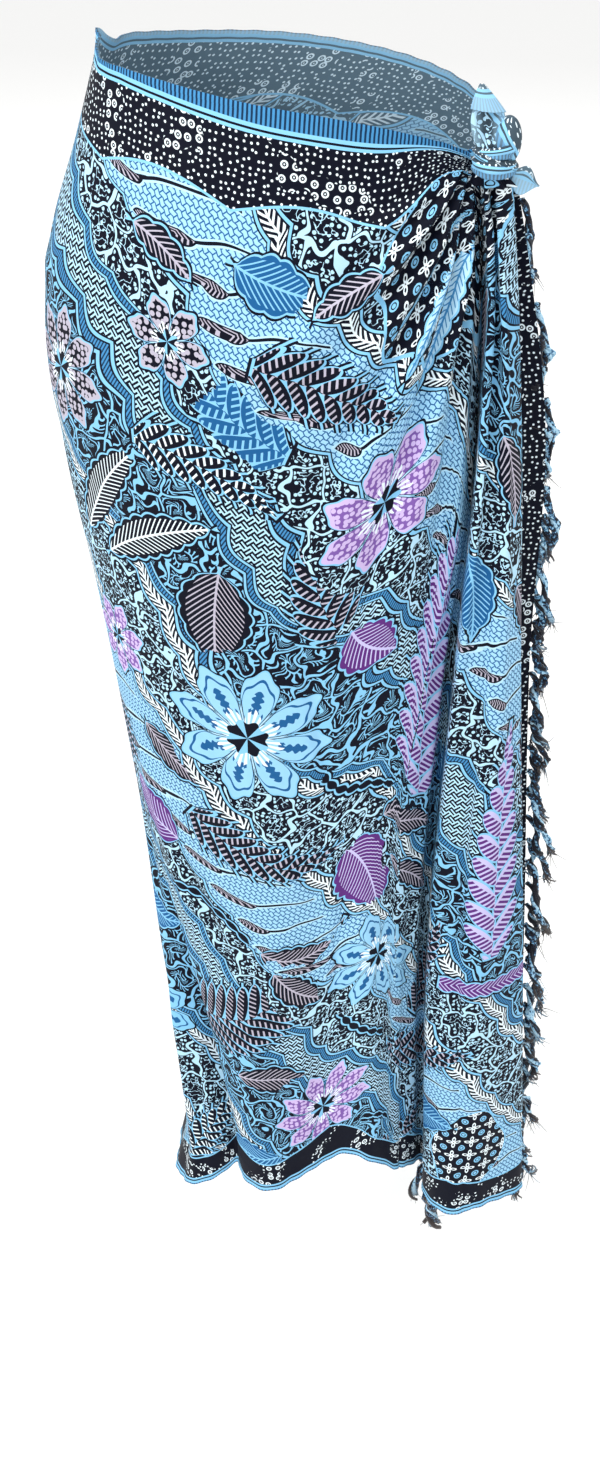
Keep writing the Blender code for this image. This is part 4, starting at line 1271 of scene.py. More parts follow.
def ground(tree, known):
    """The banded ground: its light and dark, its two colours, and how far the nearest band edge is."""
    work_out(tree, known, CLOTH_PLACE + NET + SPECKLE + SPIRAL + BASKET + HATCH)
    known["wave"] = output(add(tree, "TexNoise", known["slow_place"], 1.0, 1.0, 0.5, noise_dimensions="2D"))
    work_out(tree, known, BAND_WAVES)
    tone, edge, start = 0.0, 99.0, 0.0
    dark = light = colour(BANDS[0][2])
    for band in named(BAND_COLUMNS, BANDS):
        centre, half = start + band["wide_mm"] / 2, band["wide_mm"] / 2
        known.update(tone=tone, edge=edge, centre=centre, half=half)
        known["from_middle"] = output(add(tree, "Math", known["place"], centre, operation="SUBTRACT"))
        if band["filler"] == "feather":
            work_out(tree, known, FEATHER)
        if band["filler"] == "net":
            work_out(tree, known, TENDRIL + "net_here = COMPARE place centre half")
        known["pattern"] = known[band["filler"]]
        work_out(tree, known, BAND_SUM)
        tone, edge = known["tone"], known["edge"]
        dark = layer(tree, known["here"], dark, band["dark"])
        light = layer(tree, known["here"], light, band["light"])
        start += band["wide_mm"]
    painted = layer(tree, tone, dark, light)
    for mask, paint in (("tend_wax", ICE), ("tend_ink", INK), ("tend_barb", ASH)):
        work_out(tree, known, "shown = MULTIPLY net_here " + mask)
        painted = layer(tree, known["shown"], painted, paint)
    work_out(tree, known, "edge_ink = LESS_THAN edge 2.0\nedge_wax = LESS_THAN edge 0.95" + CROSSES)
    for mask, paint in (("edge_ink", INK), ("edge_wax", SKY)):
        painted = layer(tree, known[mask], painted, paint)
    crosses = layer(tree, known["disc"], layer(tree, known["cross_on"], INK, CHALK), SKY)
    painted = layer(tree, known["patch_on"], painted, crosses)
    return layer(tree, known["patch_wax"], painted, SKY)


print("bands in a repeat:", len(BANDS))

# %% [markdown]
# ## Leaves and stems
# Each motif has a gap: how many millimetres a point lies outside its outline, negative inside. A thin band
# of gap is the wax line and another the ink beside it. A leaf's edge is lobed by a sine, and its veins are
# slanted stripes 4.6 mm apart with a rib down the middle. A wide stem takes the same stripes.

# %% Leaves
LEAF_STEPS = """
side = ABSOLUTE m_across
lobe_0 = MULTIPLY m_along 0.26
lobe_1 = SINE lobe_0
lobe_2 = ABSOLUTE lobe_1
lobe_3 = MULTIPLY_ADD lobe_2 -2.2 side
leaf_gap_0 = SUBTRACT lobe_3 m_width
leaf_gap = ADD leaf_gap_0 1.2
vein_0 = MULTIPLY_ADD side -1.15 m_along
vein_1 = FLOORED_MODULO vein_0 4.6
vein_2 = LESS_THAN vein_1 1.35
vein_3 = LESS_THAN side 0.8
vein_4 = MULTIPLY m_width 0.8
vein_5 = LESS_THAN side vein_4
vein_6 = MULTIPLY vein_2 vein_5
leaf_tone = MAXIMUM vein_6 vein_3
"""
print("leaf steps:", LEAF_STEPS.count("="))

# %% [markdown]
# ## Sprays
# A spray has leaflets on both sides of a rib, each a lens 13 mm along the rib, half a leaflet further on
# the other side, with fine veins. The purple plumes have larger leaflets, 23 mm, and are pale with dark
# veins where the others are dark with pale ones.

# %% Sprays
SPRAY_STEPS = """
share_0 = DIVIDE side m_width
share = MINIMUM share_0 1.5
big = COMPARE m_paint {purple} 0.2
barb_mm = MULTIPLY_ADD big 10 13
barb_half = MULTIPLY barb_mm 0.5
lean = MULTIPLY_ADD side -0.8 m_along
lean_b = MULTIPLY_ADD share -3 lean
flip = GREATER_THAN m_across 0
lean_c = MULTIPLY_ADD flip barb_half lean_b
let_0 = FLOORED_MODULO lean_c barb_mm
let_1 = SUBTRACT let_0 barb_half
let_2 = ABSOLUTE let_1
lens_0 = SUBTRACT 1.02 share
lens_1 = MAXIMUM lens_0 0
lens_2 = ADD share 0.16
lens_3 = MULTIPLY lens_1 lens_2
lens_4 = POWER lens_3 0.6
barb_reach = MULTIPLY_ADD big -2.4 barb_mm
lens_5 = MULTIPLY lens_4 barb_reach
let_gap = SUBTRACT let_2 lens_5
rib_gap = SUBTRACT side 1.2
end_0 = SUBTRACT m_along m_size
end_1 = MULTIPLY m_along -1
end_2 = MAXIMUM end_0 end_1
let_3 = MAXIMUM let_gap end_2
rib_1 = MAXIMUM rib_gap end_2
spray_0 = MULTIPLY let_3 0.8
spray_gap = MINIMUM spray_0 rib_1
barb_0 = MULTIPLY_ADD let_1 0.7 side
barb_1 = FLOORED_MODULO barb_0 3.4
barb_wide = MULTIPLY_ADD big 0.75 1.15
barb_far = MULTIPLY_ADD big 3.2 1.8
barb_2 = LESS_THAN barb_1 barb_wide
barb_3 = LESS_THAN let_1 barb_far
barb_4 = MULTIPLY barb_2 barb_3
barb_5 = SUBTRACT big barb_4
spray_tone = ABSOLUTE barb_5
""".format(purple=PURPLE)
print("spray steps:", SPRAY_STEPS.count("="))

# %% [markdown]
# ## Flowers
# A flower's outline repeats with the angle round its middle: a rounded cosine for each petal, with a small
# ripple. Inside it come a flame up each petal, rays at its root, a line along its edge and a dark cleft
# beside it. Lilac and black flowers are dotted. The heart is a dark star with pale seeds.

# %% Flowers
FLOWER_STEPS = """
reach_0 = MULTIPLY m_along m_along
reach_1 = MULTIPLY_ADD m_across m_across reach_0
reach = SQRT reach_1
angle = ARCTAN2 m_across m_along
turns_0 = MULTIPLY angle m_size
petal_0 = MULTIPLY turns_0 0.5
petal_1 = COSINE petal_0
petal_2 = ABSOLUTE petal_1
petal_3 = POWER petal_2 0.75
petal_4a = MULTIPLY_ADD petal_3 0.54 0.44
petal_4b = MULTIPLY turns_0 3
petal_4c = COSINE petal_4b
petal_4 = MULTIPLY_ADD petal_4c 0.035 petal_4a
petal_5 = MULTIPLY petal_4 m_width
flower_gap = SUBTRACT reach petal_5
petal_6 = DIVIDE reach petal_5
ray_0 = MULTIPLY turns_0 4
ray_1 = SINE ray_0
ray_2 = GREATER_THAN ray_1 0.35
ray_3 = LESS_THAN petal_6 0.50
ray_4 = MULTIPLY ray_2 ray_3
flame_0 = MULTIPLY reach 1.1
flame_1 = SINE flame_0
flame_2 = MULTIPLY_ADD flame_1 0.05 petal_2
flame_3 = GREATER_THAN flame_2 0.925
flame_4 = COMPARE petal_6 0.54 0.17
flame_5 = MULTIPLY flame_3 flame_4
flame_7 = COMPARE petal_6 0.86 0.022
flame_8 = MAXIMUM flame_7 ray_4
flame_6 = MAXIMUM flame_5 flame_8
petal_pale = SUBTRACT 1 flame_6
dot_0 = LESS_THAN seed_far 0.40
dot_1 = GREATER_THAN petal_6 0.9
dot_2 = MAXIMUM dot_0 dot_1
is_lilac = COMPARE m_paint {lilac} 0.1
is_black = COMPARE m_paint {black} 0.1
dotted = MAXIMUM is_lilac is_black
dot_3 = SUBTRACT dot_2 petal_pale
tone_f = MULTIPLY_ADD dotted dot_3 petal_pale
cleft_0 = LESS_THAN petal_2 0.22
cleft_1 = MULTIPLY m_width 0.26
cleft_2 = GREATER_THAN reach cleft_1
cleft = MULTIPLY cleft_0 cleft_2
cleft_3 = LESS_THAN petal_2 0.10
cleft_wax = MULTIPLY cleft_3 cleft_2
heart_0 = MULTIPLY m_width 0.24
heart_1 = SINE turns_0
heart_2 = MULTIPLY_ADD heart_1 1.6 heart_0
heart = LESS_THAN reach heart_2
heart_3 = MULTIPLY angle 5
heart_4 = SINE heart_3
heart_5 = GREATER_THAN heart_4 0.45
heart_6 = MULTIPLY heart heart_5
""".format(lilac=LILAC, black=BLACK)
print("flower steps:", FLOWER_STEPS.count("="))

# %% [markdown]
# ## Which motif shows
# The material reads the motif's number, family times ten plus paint, and keeps the gap and the tone of
# that family alone. Between two points of the mesh the number is blended, so anything but a whole number
# is ground.

# %% Choice of the motif
PAINT_COLUMNS = ("number", "dark", "light")
PAINTS = (
    (BLACK, INK, ASH), (PURPLE, PLUM, LAVENDER), (BLUE, DEEP, SKY),
    (PALE_BLUE, DEEP, PETAL), (LILAC, VIOLET, MAUVE), (WHITE, INK, CHALK),
    # The seventh paint, pale with mid blue veins, is the painted highlight along the gathers' ridges.
    (RIDGE_HIGHLIGHT, ICE, MID),
)
KIND_STEPS = """
m_safe = ADD m_kind 0.01
m_family_0 = MULTIPLY m_safe 0.1
m_family = FLOOR m_family_0
m_ten = MULTIPLY m_family -10
m_paint = ADD m_kind m_ten
"""
CHOICE_STEPS = """
is_spray_0 = COMPARE m_kind 14 3.4
is_leaf = COMPARE m_kind 24 3.4
is_flower = COMPARE m_kind 34 3.4
is_stem = COMPARE m_kind 44 3.4
whole_0 = FRACT m_safe
whole = LESS_THAN whole_0 0.02
leaf_end = MAXIMUM leaf_gap end_2
gap_1 = MULTIPLY is_spray_0 spray_gap
gap_2 = MULTIPLY_ADD is_leaf leaf_gap gap_1
gap_3 = MULTIPLY_ADD is_flower flower_gap gap_2
gap_4 = MULTIPLY_ADD is_stem leaf_end gap_3
some_0 = ADD is_spray_0 is_leaf
some_1 = ADD is_flower is_stem
some_2 = ADD some_0 some_1
some = MULTIPLY some_2 whole
none = SUBTRACT 1 some
gap = MULTIPLY_ADD none 99 gap_4
tone_1 = MULTIPLY is_spray_0 spray_tone
tone_2 = MULTIPLY_ADD is_leaf leaf_tone tone_1
tone = MULTIPLY_ADD is_flower tone_f tone_2
inside = LESS_THAN gap -0.6
wax = LESS_THAN gap 0.9
contour = LESS_THAN gap 2.6
cleft_on = MULTIPLY cleft is_flower
heart_on = MULTIPLY heart is_flower
heart_pale = MULTIPLY heart_6 is_flower
base_0 = LESS_THAN petal_6 0.44
base_1 = GREATER_THAN ray_1 -0.1
base_2 = MULTIPLY base_0 base_1
base_pale = MULTIPLY base_2 is_flower
cleft_pale = MULTIPLY cleft_wax is_flower
stem_wide = GREATER_THAN m_width 4
stem_0 = MULTIPLY stem_wide vein_2
stem_tone = MULTIPLY stem_0 is_stem
tone_all = ADD tone stem_tone
"""
print("paints:", len(PAINTS))

# %% Motifs of the print


def motifs(tree, known, under):
    """Draws the motifs over the ground: contour, wax line, the motif's two colours and the flower's heart."""
    work_out(tree, known, KIND_STEPS + LEAF_STEPS + SPRAY_STEPS + FLOWER_STEPS + CHOICE_STEPS)
    dark = light = colour(INK)
    for paint in named(PAINT_COLUMNS, PAINTS):
        known["number"] = float(paint["number"])
        work_out(tree, known, "chosen = COMPARE m_paint number 0.1")
        dark = layer(tree, known["chosen"], dark, paint["dark"])
        light = layer(tree, known["chosen"], light, paint["light"])
    body = layer(tree, known["tone_all"], dark, light)
    for mask, paint in (
        ("base_pale", CHALK), ("cleft_on", NAVY), ("cleft_pale", ICE), ("heart_on", INK), ("heart_pale", SKY),
    ):
        body = layer(tree, known[mask], body, paint)
    shown = layer(tree, known["wax"], layer(tree, known["contour"], under, INK), SKY)
    return layer(tree, known["inside"], shown, body)


print("motif steps:", CHOICE_STEPS.count("="))

# %% [markdown]
# ## Borders
# Along the top edge and the hem runs a ribbed blue band, three fine lines and a black strip with white
# dots and clusters of little rings. The strip is 62 mm deep at the top and 41 mm at the hem, where only a
# few clusters of dots show, and its inner side is scalloped. The short ends have the dotted strip alone.
# The dots are 1.6 mm wide, a little wider than real ones, so that they show in the render.

# %% Borders of the print
BORDER = """
rib_0 = FLOORED_MODULO u 2.8
rib = GREATER_THAN rib_0 1.3
spot_0 = LESS_THAN seed_far 0.19
sparse_0 = GREATER_THAN w 60
sparse_1 = GREATER_THAN cluster 0.53
sparse = MAXIMUM sparse_0 sparse_1
spot = MULTIPLY spot_0 sparse
ring_0 = SUBTRACT ring_far 0.26
ring_1 = ABSOLUTE ring_0
ring_2 = LESS_THAN ring_1 0.075
ring_3 = LESS_THAN ring_far 0.07
ring_4 = MAXIMUM ring_2 ring_3
ring_5 = GREATER_THAN cluster 0.60
rings = SUBTRACT ring_4 spot
dots_on = MULTIPLY_ADD ring_5 rings spot
bay_0 = MULTIPLY u 0.034
bay_1 = SINE bay_0
bay_2 = ABSOLUTE bay_1
top_reach = MULTIPLY_ADD bay_2 -10 62
hem_reach = MULTIPLY_ADD bay_2 -10 41
top_gap = SUBTRACT v top_reach
hem_gap = SUBTRACT w hem_reach
end_gap = SUBTRACT e 30
strip_0 = MINIMUM top_gap hem_gap
strip = MINIMUM strip_0 end_gap
strip_on = LESS_THAN strip 0
strip_wax_0 = ABSOLUTE strip
strip_wax = LESS_THAN strip_wax_0 0.8
line_low = SUBTRACT w -9.5
line_place = MINIMUM v line_low
band_on = LESS_THAN line_place 11.0
line_1 = COMPARE line_place 12.2 1.2
line_2 = COMPARE line_place 14.1 0.7
line_3 = COMPARE line_place 15.8 1.0
lines = MAXIMUM line_1 line_3
"""


def borders(tree, known, under):
    """Draws the dotted strip, the fine lines and the ribbed band over the rest."""
    work_out(tree, known, BORDER)
    strip = layer(tree, known["dots_on"], INK, CHALK)
    band = layer(tree, known["rib"], NAVY, MID)
    for mask, paint in (
        ("strip_on", strip), ("strip_wax", SKY), ("line_2", INK), ("lines", SKY), ("band_on", band),
    ):
        under = layer(tree, known[mask], under, paint)
    return under


print("border steps:", BORDER.count("="))

# %% [markdown]
# ## What the material reads
# Small repeats need a random seed for each spot, which a Voronoi texture gives, and speckle needs a noise.
# All of them read the flat coordinates, divided by the size of the repeat in millimetres.

# %% Readings and random cells
SPIRAL_MM, DOT_MM, RING_MM, GRAIN_MM = 24.0, 4.2, 7.0, 4.6
CLUSTER_MM, WAVE_MM, WRINKLE_MM, WEAVE_MM, DRIFT_MM = 30.0, 95.0, 26.0, 1.1, 13.0
CELL_LOOSE, DOT_LOOSE, RING_LOOSE, DRIFT_REACH = 0.6, 0.55, 0.5, 0.55


def split(tree, vector, names):
    """The parts of a vector, each by its name."""
    return dict(zip(names, add(tree, "SeparateXYZ", vector).outputs))


def cloth_readings(tree):
    """The numbers that the mesh stores for a point, each by a short name."""
    read = lambda name, socket: output(add(tree, "Attribute", attribute_name=name), socket)
    known = split(tree, read("cloth_mm", "Vector"), ("u", "v", "w"))
    known.update(split(tree, read("motif_mm", "Vector"), ("m_along", "m_across", "m_width")))
    known.update(e=read("end_mm", "Fac"), m_kind=read("motif_kind", "Fac"))
    known.update(m_size=read("motif_size", "Fac"), from_reverse=read("reverse_side_and_painted_light", "Fac"))
    return known


def voronoi(tree, place, loose, feature="F1"):
    """Random cells of size 1, more even when loose is less than 1."""
    node = add(tree, "TexVoronoi", place, 1.0, voronoi_dimensions="2D", feature=feature)
    node.inputs["Randomness"].default_value = loose
    return node


def random_cells(tree, known, by):
    """Cells with drifting rims for the spirals and the speckle, seeds for dots and rings, and two noises."""
    drift = add(tree, "TexNoise", by(DRIFT_MM), 1.0, 0.0, 0.5, noise_dimensions="2D").outputs["Color"]
    for operation, amount in (("SUBTRACT", (0.5, 0.5, 0.5)), ("MULTIPLY", (DRIFT_REACH, DRIFT_REACH, 0.0))):
        drift = output(add(tree, "VectorMath", drift, amount, operation=operation))
    place = output(add(tree, "VectorMath", by(SPIRAL_MM), drift, operation="ADD"))
    cell = voronoi(tree, place, CELL_LOOSE)
    known["cell_rim"] = voronoi(tree, place, CELL_LOOSE, "DISTANCE_TO_EDGE").outputs["Distance"]
    off = output(add(tree, "VectorMath", place, cell.outputs["Position"], operation="SUBTRACT"))
    known.update(split(tree, off, ("cell_x", "cell_y")), cell_far=cell.outputs["Distance"])
    known["seed_far"] = voronoi(tree, by(DOT_MM), DOT_LOOSE).outputs["Distance"]
    known["ring_far"] = voronoi(tree, by(RING_MM), RING_LOOSE).outputs["Distance"]
    known["slow_place"] = by(WAVE_MM)
    for name, size in (("grain", GRAIN_MM), ("cluster", CLUSTER_MM)):
        known[name] = output(add(tree, "TexNoise", by(size), 1.0, 1.0, 0.5, noise_dimensions="2D"))


print("spiral cells", SPIRAL_MM, "mm, dots", DOT_MM, "mm apart")

# %% [markdown]
# ## The cloth material
# The parts come together here. The reverse of printed rayon is paler, because the dye is laid on the face.
# On the ribbed band the reverse is drawn paler still: that is painted light, which lifts the band's inner
# face from the shade inside the tube. Real threads lie about 0.3 mm apart, too fine to show, so the weave's
# relief is drawn with threads 1.1 mm apart. Soft wrinkles 26 mm long lie under it. A low specular and a
# trace of sheen give the soft look of rayon, with no gloss.

# %% Batik rayon
# The reverse of the cloth is drawn paler. The extra 0.45 on the ribbed band is painted light, which lifts the
# band's inner face from its shade inside the tube.
REVERSE_AND_BAND_LIGHT_STEPS = """
reverse_0 = MULTIPLY_ADD band_on 0.45 0.28
reverse = MULTIPLY from_reverse reverse_0
"""
RELIEF_STEPS = """
warp_0 = MULTIPLY u {step}
warp = SINE warp_0
weft_0 = MULTIPLY v {step}
weft = SINE weft_0
threads = MULTIPLY warp weft
height = MULTIPLY_ADD threads 0.03 wrinkle
""".format(step=round(2 * math.pi / WEAVE_MM, 4))
RAYON_FINISH = (
    ("Roughness", 0.66), ("Specular IOR Level", 0.12), ("Sheen Weight", 0.015), ("Sheen Roughness", 0.4),
)
RELIEF_STRENGTH, RELIEF_HIGH = 0.5, 0.0012


def new_material(name):
    """An empty material, its node tree and its shader."""
    material = bpy.data.materials.new(name)
    material.use_nodes = True
    return material, material.node_tree, material.node_tree.nodes["Principled BSDF"]


def finish_surface(tree, shader, painted, height, strength, high, values):
    """Connects the colour and a bump, and sets the finish on the shader's own sockets."""
    tree.links.new(painted, shader.inputs["Base Color"])
    bump = add(tree, "Bump")
    bump.inputs["Strength"].default_value, bump.inputs["Distance"].default_value = strength, high
    tree.links.new(height, bump.inputs["Height"])
    tree.links.new(bump.outputs["Normal"], shader.inputs["Normal"])
    for name, value in values:
        shader.inputs[name].default_value = value


def batik_rayon():
    """Plain-woven rayon with a wax-resist print, dyed in blues, black and purple."""
    material, tree, shader = new_material("batik_rayon_plain_weave")
    known = cloth_readings(tree)
    plane = output(add(tree, "CombineXYZ", known["u"], known["v"], 0.0))
    by = lambda size: output(add(tree, "VectorMath", plane, (1 / size,) * 3, operation="MULTIPLY"))
    random_cells(tree, known, by)
    painted = borders(tree, known, motifs(tree, known, ground(tree, known)))
    known["wrinkle"] = output(add(tree, "TexNoise", by(WRINKLE_MM), 1.0, 2.0, 0.5, noise_dimensions="2D"))
    work_out(tree, known, REVERSE_AND_BAND_LIGHT_STEPS + RELIEF_STEPS)
    painted = layer(tree, known["reverse"], painted, ICE)
    finish_surface(tree, shader, painted, known["height"], RELIEF_STRENGTH, RELIEF_HIGH, RAYON_FINISH)
    print("batik rayon:", len(tree.nodes), "nodes")
    return material


rayon = batik_rayon()

# %% Cloth pieces
CAD_NODES = {"front": "front_panel", "end": "front_end", "back": "back_panel", "under": "under_end"}
CLOTH_NAMES = {
    "front": "front_cloth", "end": "front_end_cloth", "back": "back_cloth", "under": "under_end_cloth",
}
cloth = {}
for name, points in grids.items():
    flip = name in ("back", "under")
    piece = cloth_shell(
        CLOTH_NAMES[name], points, normals[name], halves[name], flat[name], motif_maps[name], flip, rayon
    )
    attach(piece, "root")
    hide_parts(CAD_NODES[name])
    cloth[name] = piece
    print(piece.name, len(piece.data.polygons) * 2, "triangles")

# %% [markdown]
# ## Fringe
# The threads left at a cut end are knotted in bunches and twisted, and their tips fray. The solid model
# has one plain lock for each bunch. Here each lock becomes six yarns that wind round each other, a small
# knot somewhere on its way, and loose hairs at the end. All yarns of a fringe are one array of paths,
# swept as thin tubes. The first tables are the solid's: how far apart and how long the locks are, and
# which way they hang.

# %% Fringe sizes
LOCK_PITCH = 0.0218
STRIP_WIDE = 0.0033
LOCK_LONG, LOCK_UNEVEN, LOCK_SWAY, SWAY_BY, LOCK_SPREAD = 0.056, 0.30, 0.0060, 0.6, 5.0
LENGTH_BEAT, SPREAD_BEAT = 2.4, 1.7
LOCK = ((0.00, 0.0016, 34.0), (0.14, 0.0021, 66.0), (0.60, 0.0016, 78.0), (1.00, 0.0012, 80.0))
TURN_COLUMNS = ("height", "turn")
FRONT_FRINGE_TURN = (
    (-0.05, 84), (-0.22, 80), (-0.34, 50), (-0.46, 14), (-0.72, 18), (-0.84, 62), (-0.95, 86),
)
UNDER_FRINGE_TURN = ((-0.05, 0.0), (-0.70, -45.0), (-0.98, -75.0))
YARNS, YARN_STEPS, YARN_SIDES, YARN_THICK, TWIST_TURNS = 6, 30, 5, 0.00120, 2.2
HAIRS, HAIR_STEPS, HAIR_SIDES, HAIR_THICK = 10, 9, 3, 0.00040
print("yarns in a lock:", YARNS, "hairs at its tip:", HAIRS)

# %% Thin tubes
SKEW = (0.35, 1.0, 0.1)


def tube_mesh(name, paths, radii, sides):
    """Thin tubes along many paths at once: at each step a ring of points, square to the path's way."""
    way = np.gradient(paths, axis=1)
    way /= np.linalg.norm(way, axis=-1, keepdims=True)
    aside = np.cross(way, SKEW)
    aside /= np.linalg.norm(aside, axis=-1, keepdims=True)
    other = np.cross(way, aside)
    turn = np.linspace(0.0, 2 * np.pi, sides, endpoint=False)
    circle = aside[..., None, :] * np.cos(turn)[:, None] + other[..., None, :] * np.sin(turn)[:, None]
    rings = paths[..., None, :] + radii[..., None, None] * circle
    many, steps = paths.shape[:2]
    index = np.arange(many * steps * sides).reshape(many, steps, sides)
    nxt = np.roll(index, -1, axis=2)
    walls = np.stack([index[:, :-1], nxt[:, :-1], nxt[:, 1:], index[:, 1:]], axis=-1).reshape(-1, 4)
    caps = np.concatenate([index[:, 0, ::-1], index[:, -1]]).tolist()
    mesh = bpy.data.meshes.new(name)
    mesh.from_pydata(rings.reshape(-1, 3).tolist(), [], walls.tolist() + caps)
    mesh.shade_smooth()
    return mesh


print("faces of a yarn:", (YARN_STEPS - 1) * YARN_SIDES + 2)

# %% Middle lines of the locks


def lock_centres(points, turns):
    """The middle line of every lock: from a root on the fringed edge, out, down and a little aside."""
    edge, way = points[::-1, -1], points[::-1, -1] - points[::-1, -3]
    top, hem = points[0, -1, 2], points[-1, -1, 2]
    count = int((top - hem) / LOCK_PITCH)
    roots = top - 0.5 * (top - hem - (count - 1) * LOCK_PITCH) - np.arange(count) * LOCK_PITCH
    spot = np.stack([np.interp(roots, edge[:, 2], edge[:, k]) for k in (0, 1, 2)], axis=-1)
    out = np.stack([np.interp(roots, edge[:, 2], way[:, k]) for k in (0, 1)] + [roots * 0], axis=-1)
    out /= np.linalg.norm(out, axis=-1, keepdims=True)
    across = np.stack([-out[:, 1], out[:, 0], roots * 0], axis=-1)
    turn = np.radians(column(turns, TURN_COLUMNS, "turn", roots))[:, None]
    leave = np.cos(turn) * out + np.sin(turn) * across
    beside = np.stack([-leave[:, 1], leave[:, 0], roots * 0], axis=-1)
    number = np.arange(count)
    s = np.linspace(0.0, 1.0, YARN_STEPS)
    share, _, hang = np.array(LOCK).T
    length = LOCK_LONG * (1.0 + LOCK_UNEVEN * np.sin(LENGTH_BEAT * number))[:, None]
    steep = np.radians(smooth(share, hang, s) + LOCK_SPREAD * np.sin(SPREAD_BEAT * number)[:, None])
    step = length / (YARN_STEPS - 1)
    run = np.cumsum(np.cos(steep) * step, axis=1) - np.cos(steep[:, :1]) * step
    drop = np.cumsum(np.sin(steep) * step, axis=1) - np.sin(steep[:, :1]) * step
    sway = (LOCK_SWAY * (number % 3 - 1))[:, None] * eased(s / SWAY_BY)
    root = spot + STRIP_WIDE * 0.5 * out
    line = root[:, None] + run[..., None] * leave[:, None] + sway[..., None] * beside[:, None]
    line[..., 2] -= drop
    return line, s


print("locks of the outer end:", len(lock_centres(grids["end"], FRONT_FRINGE_TURN)[0]))

# %% [markdown]
# ## Yarns and hairs
# No two locks are alike. A seeded generator draws each lock's waves, its knot's place, its twist and how
# far it frays, so the fringe is uneven and yet the same on every run. The under end's last locks hang
# below the hem and are thicker, because more threads are bunched in them.

# %% Yarns and hairs
LOCK_WAVES = (((0.8, 1.7), 0.0036, (1.0, 0.2, 0.0)), ((1.6, 2.6), 0.0026, (0.2, 1.0, 0.0)))
SPREAD, KNOT_SPREAD, FRAY_SPREAD = 0.00125, 0.0014, 0.0024
HAIR_REACH, HAIR_DROP, HAIR_CURL = (0.0042, 0.0042, 0.0022), (0.0, 0.0, 0.0085), 0.0016


def wavy(draw, line, s):
    """The locks' middle lines with two random waves each, which grow from the root."""
    for beats, reach, way in LOCK_WAVES:
        count = len(line)
        turns = s * draw.uniform(*beats, (count, 1)) + draw.uniform(0, 1, (count, 1))
        line = line + (np.sin(2 * np.pi * turns) * s * reach)[..., None] * way
    return line


def lock_yarns(draw, line, s, bulk):
    """Paths and radii of all yarns: each winds round its lock's middle line, further out at the knot and at
    the frayed end, and thicker at the knot."""
    count = len(line)
    knot_here = np.exp(-(((s - draw.uniform(0.12, 0.62, (count, 1))) / 0.055) ** 2))
    phase = draw.uniform(0, 2 * np.pi, (count, 1, 1)) + np.arange(YARNS)[:, None] * 2 * np.pi / YARNS
    turns_each = draw.uniform(0.7, 1.25, (count, 1, 1)) * TWIST_TURNS
    angle = phase + 2 * np.pi * turns_each * s
    fray = eased((s - draw.uniform(0.70, 0.86, (count, 1))) / 0.30)
    spread = bulk * (SPREAD + KNOT_SPREAD * knot_here + FRAY_SPREAD * fray)
    loose = draw.uniform(0.4, 1.7, (count, YARNS, 1)) * (1 + 0.35 * np.sin(9.0 * s + phase))
    round_it = np.stack([np.cos(angle), np.sin(angle), 0 * angle], axis=-1)
    yarns = line[:, None] + round_it * (spread[:, None] * loose)[..., None]
    thick = bulk * YARN_THICK * (1 + 0.5 * knot_here - 0.55 * fray)
    return yarns.reshape(-1, YARN_STEPS, 3), np.repeat(thick, YARNS, axis=0)


def lock_hairs(draw, line, hair_s):
    """Paths of the loose hairs: from near a lock's end, down and a random way aside, with a curl."""
    count = len(line)
    start = line[:, -6:-2].mean(axis=1)
    away = draw.normal(0.0, 1.0, (count, HAIRS, 3)) * HAIR_REACH - HAIR_DROP
    curl = draw.normal(0.0, HAIR_CURL, (count, HAIRS, 3))
    bend = (hair_s**2)[:, None] * curl[:, :, None] * 2.0
    long = draw.uniform(0.6, 1.5, (count, HAIRS, 1, 1))
    hairs = start[:, None, None] + away[:, :, None] * hair_s[:, None] * long + bend
    return hairs.reshape(-1, HAIR_STEPS, 3)


print("hairs hang", 1000 * HAIR_DROP[2], "mm on average")

# %% One fringe


def fringe(name, node, points, turns, seed, material, bulk=1.0, last_bulk=0.0):
    """All yarns and hairs of one fringe, with how far along each yarn a point lies and each yarn's tint. bulk
    is how thick its locks are, and last_bulk how much thicker the last two get."""
    draw = np.random.default_rng(seed)
    line, s = lock_centres(points, turns)
    count = len(line)
    bulk = bulk + last_bulk * eased((np.arange(count)[:, None] - count + 3.5) / 2.0)
    line = wavy(draw, line, s)
    yarns, thick = lock_yarns(draw, line, s, bulk)
    hair_s = np.linspace(0.0, 1.0, HAIR_STEPS)
    hairs = lock_hairs(draw, line, hair_s)
    body = tube_mesh(name, yarns, thick, YARN_SIDES)
    hair_thick = HAIR_THICK * (1 - 0.6 * hair_s) * np.ones((len(hairs), 1))
    fine = tube_mesh(name + "_hairs", hairs, hair_thick, HAIR_SIDES)

    put_attribute(body, "yarn_share", np.repeat(np.tile(s, len(yarns)), YARN_SIDES))
    put_attribute(fine, "yarn_share", np.repeat(np.tile(0.9 + 0.1 * hair_s, len(hairs)), HAIR_SIDES))
    tint = draw.uniform(0, 1, (count, YARNS))
    put_attribute(body, "yarn_tint", np.repeat(tint.ravel(), YARN_STEPS * YARN_SIDES))
    put_attribute(fine, "yarn_tint", np.repeat(draw.uniform(0, 1, len(hairs)), HAIR_STEPS * HAIR_SIDES))
    piece, tips = place(name, body, material), place(name + "_hairs", fine, material)
    for item in (piece, tips):
        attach(item, "root")
    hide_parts(node)
    print(name, count, "locks,", len(body.polygons) * 2 + len(fine.polygons) * 2, "triangles")
    return piece, tips


print("a fringe is two pieces, yarns and hairs")

# %% [markdown]
# ## Fringe threads
# The threads are the cloth's own warp, so they carry the dye of the dotted border: mostly navy and black,
# with pale lengths where wax lay. Their frayed tips have lost dye and look brownish grey. A noise in space
# picks the colour from a ramp. The twist of a real yarn, about 1 mm, is drawn as a coarser wave so that it
# shows.

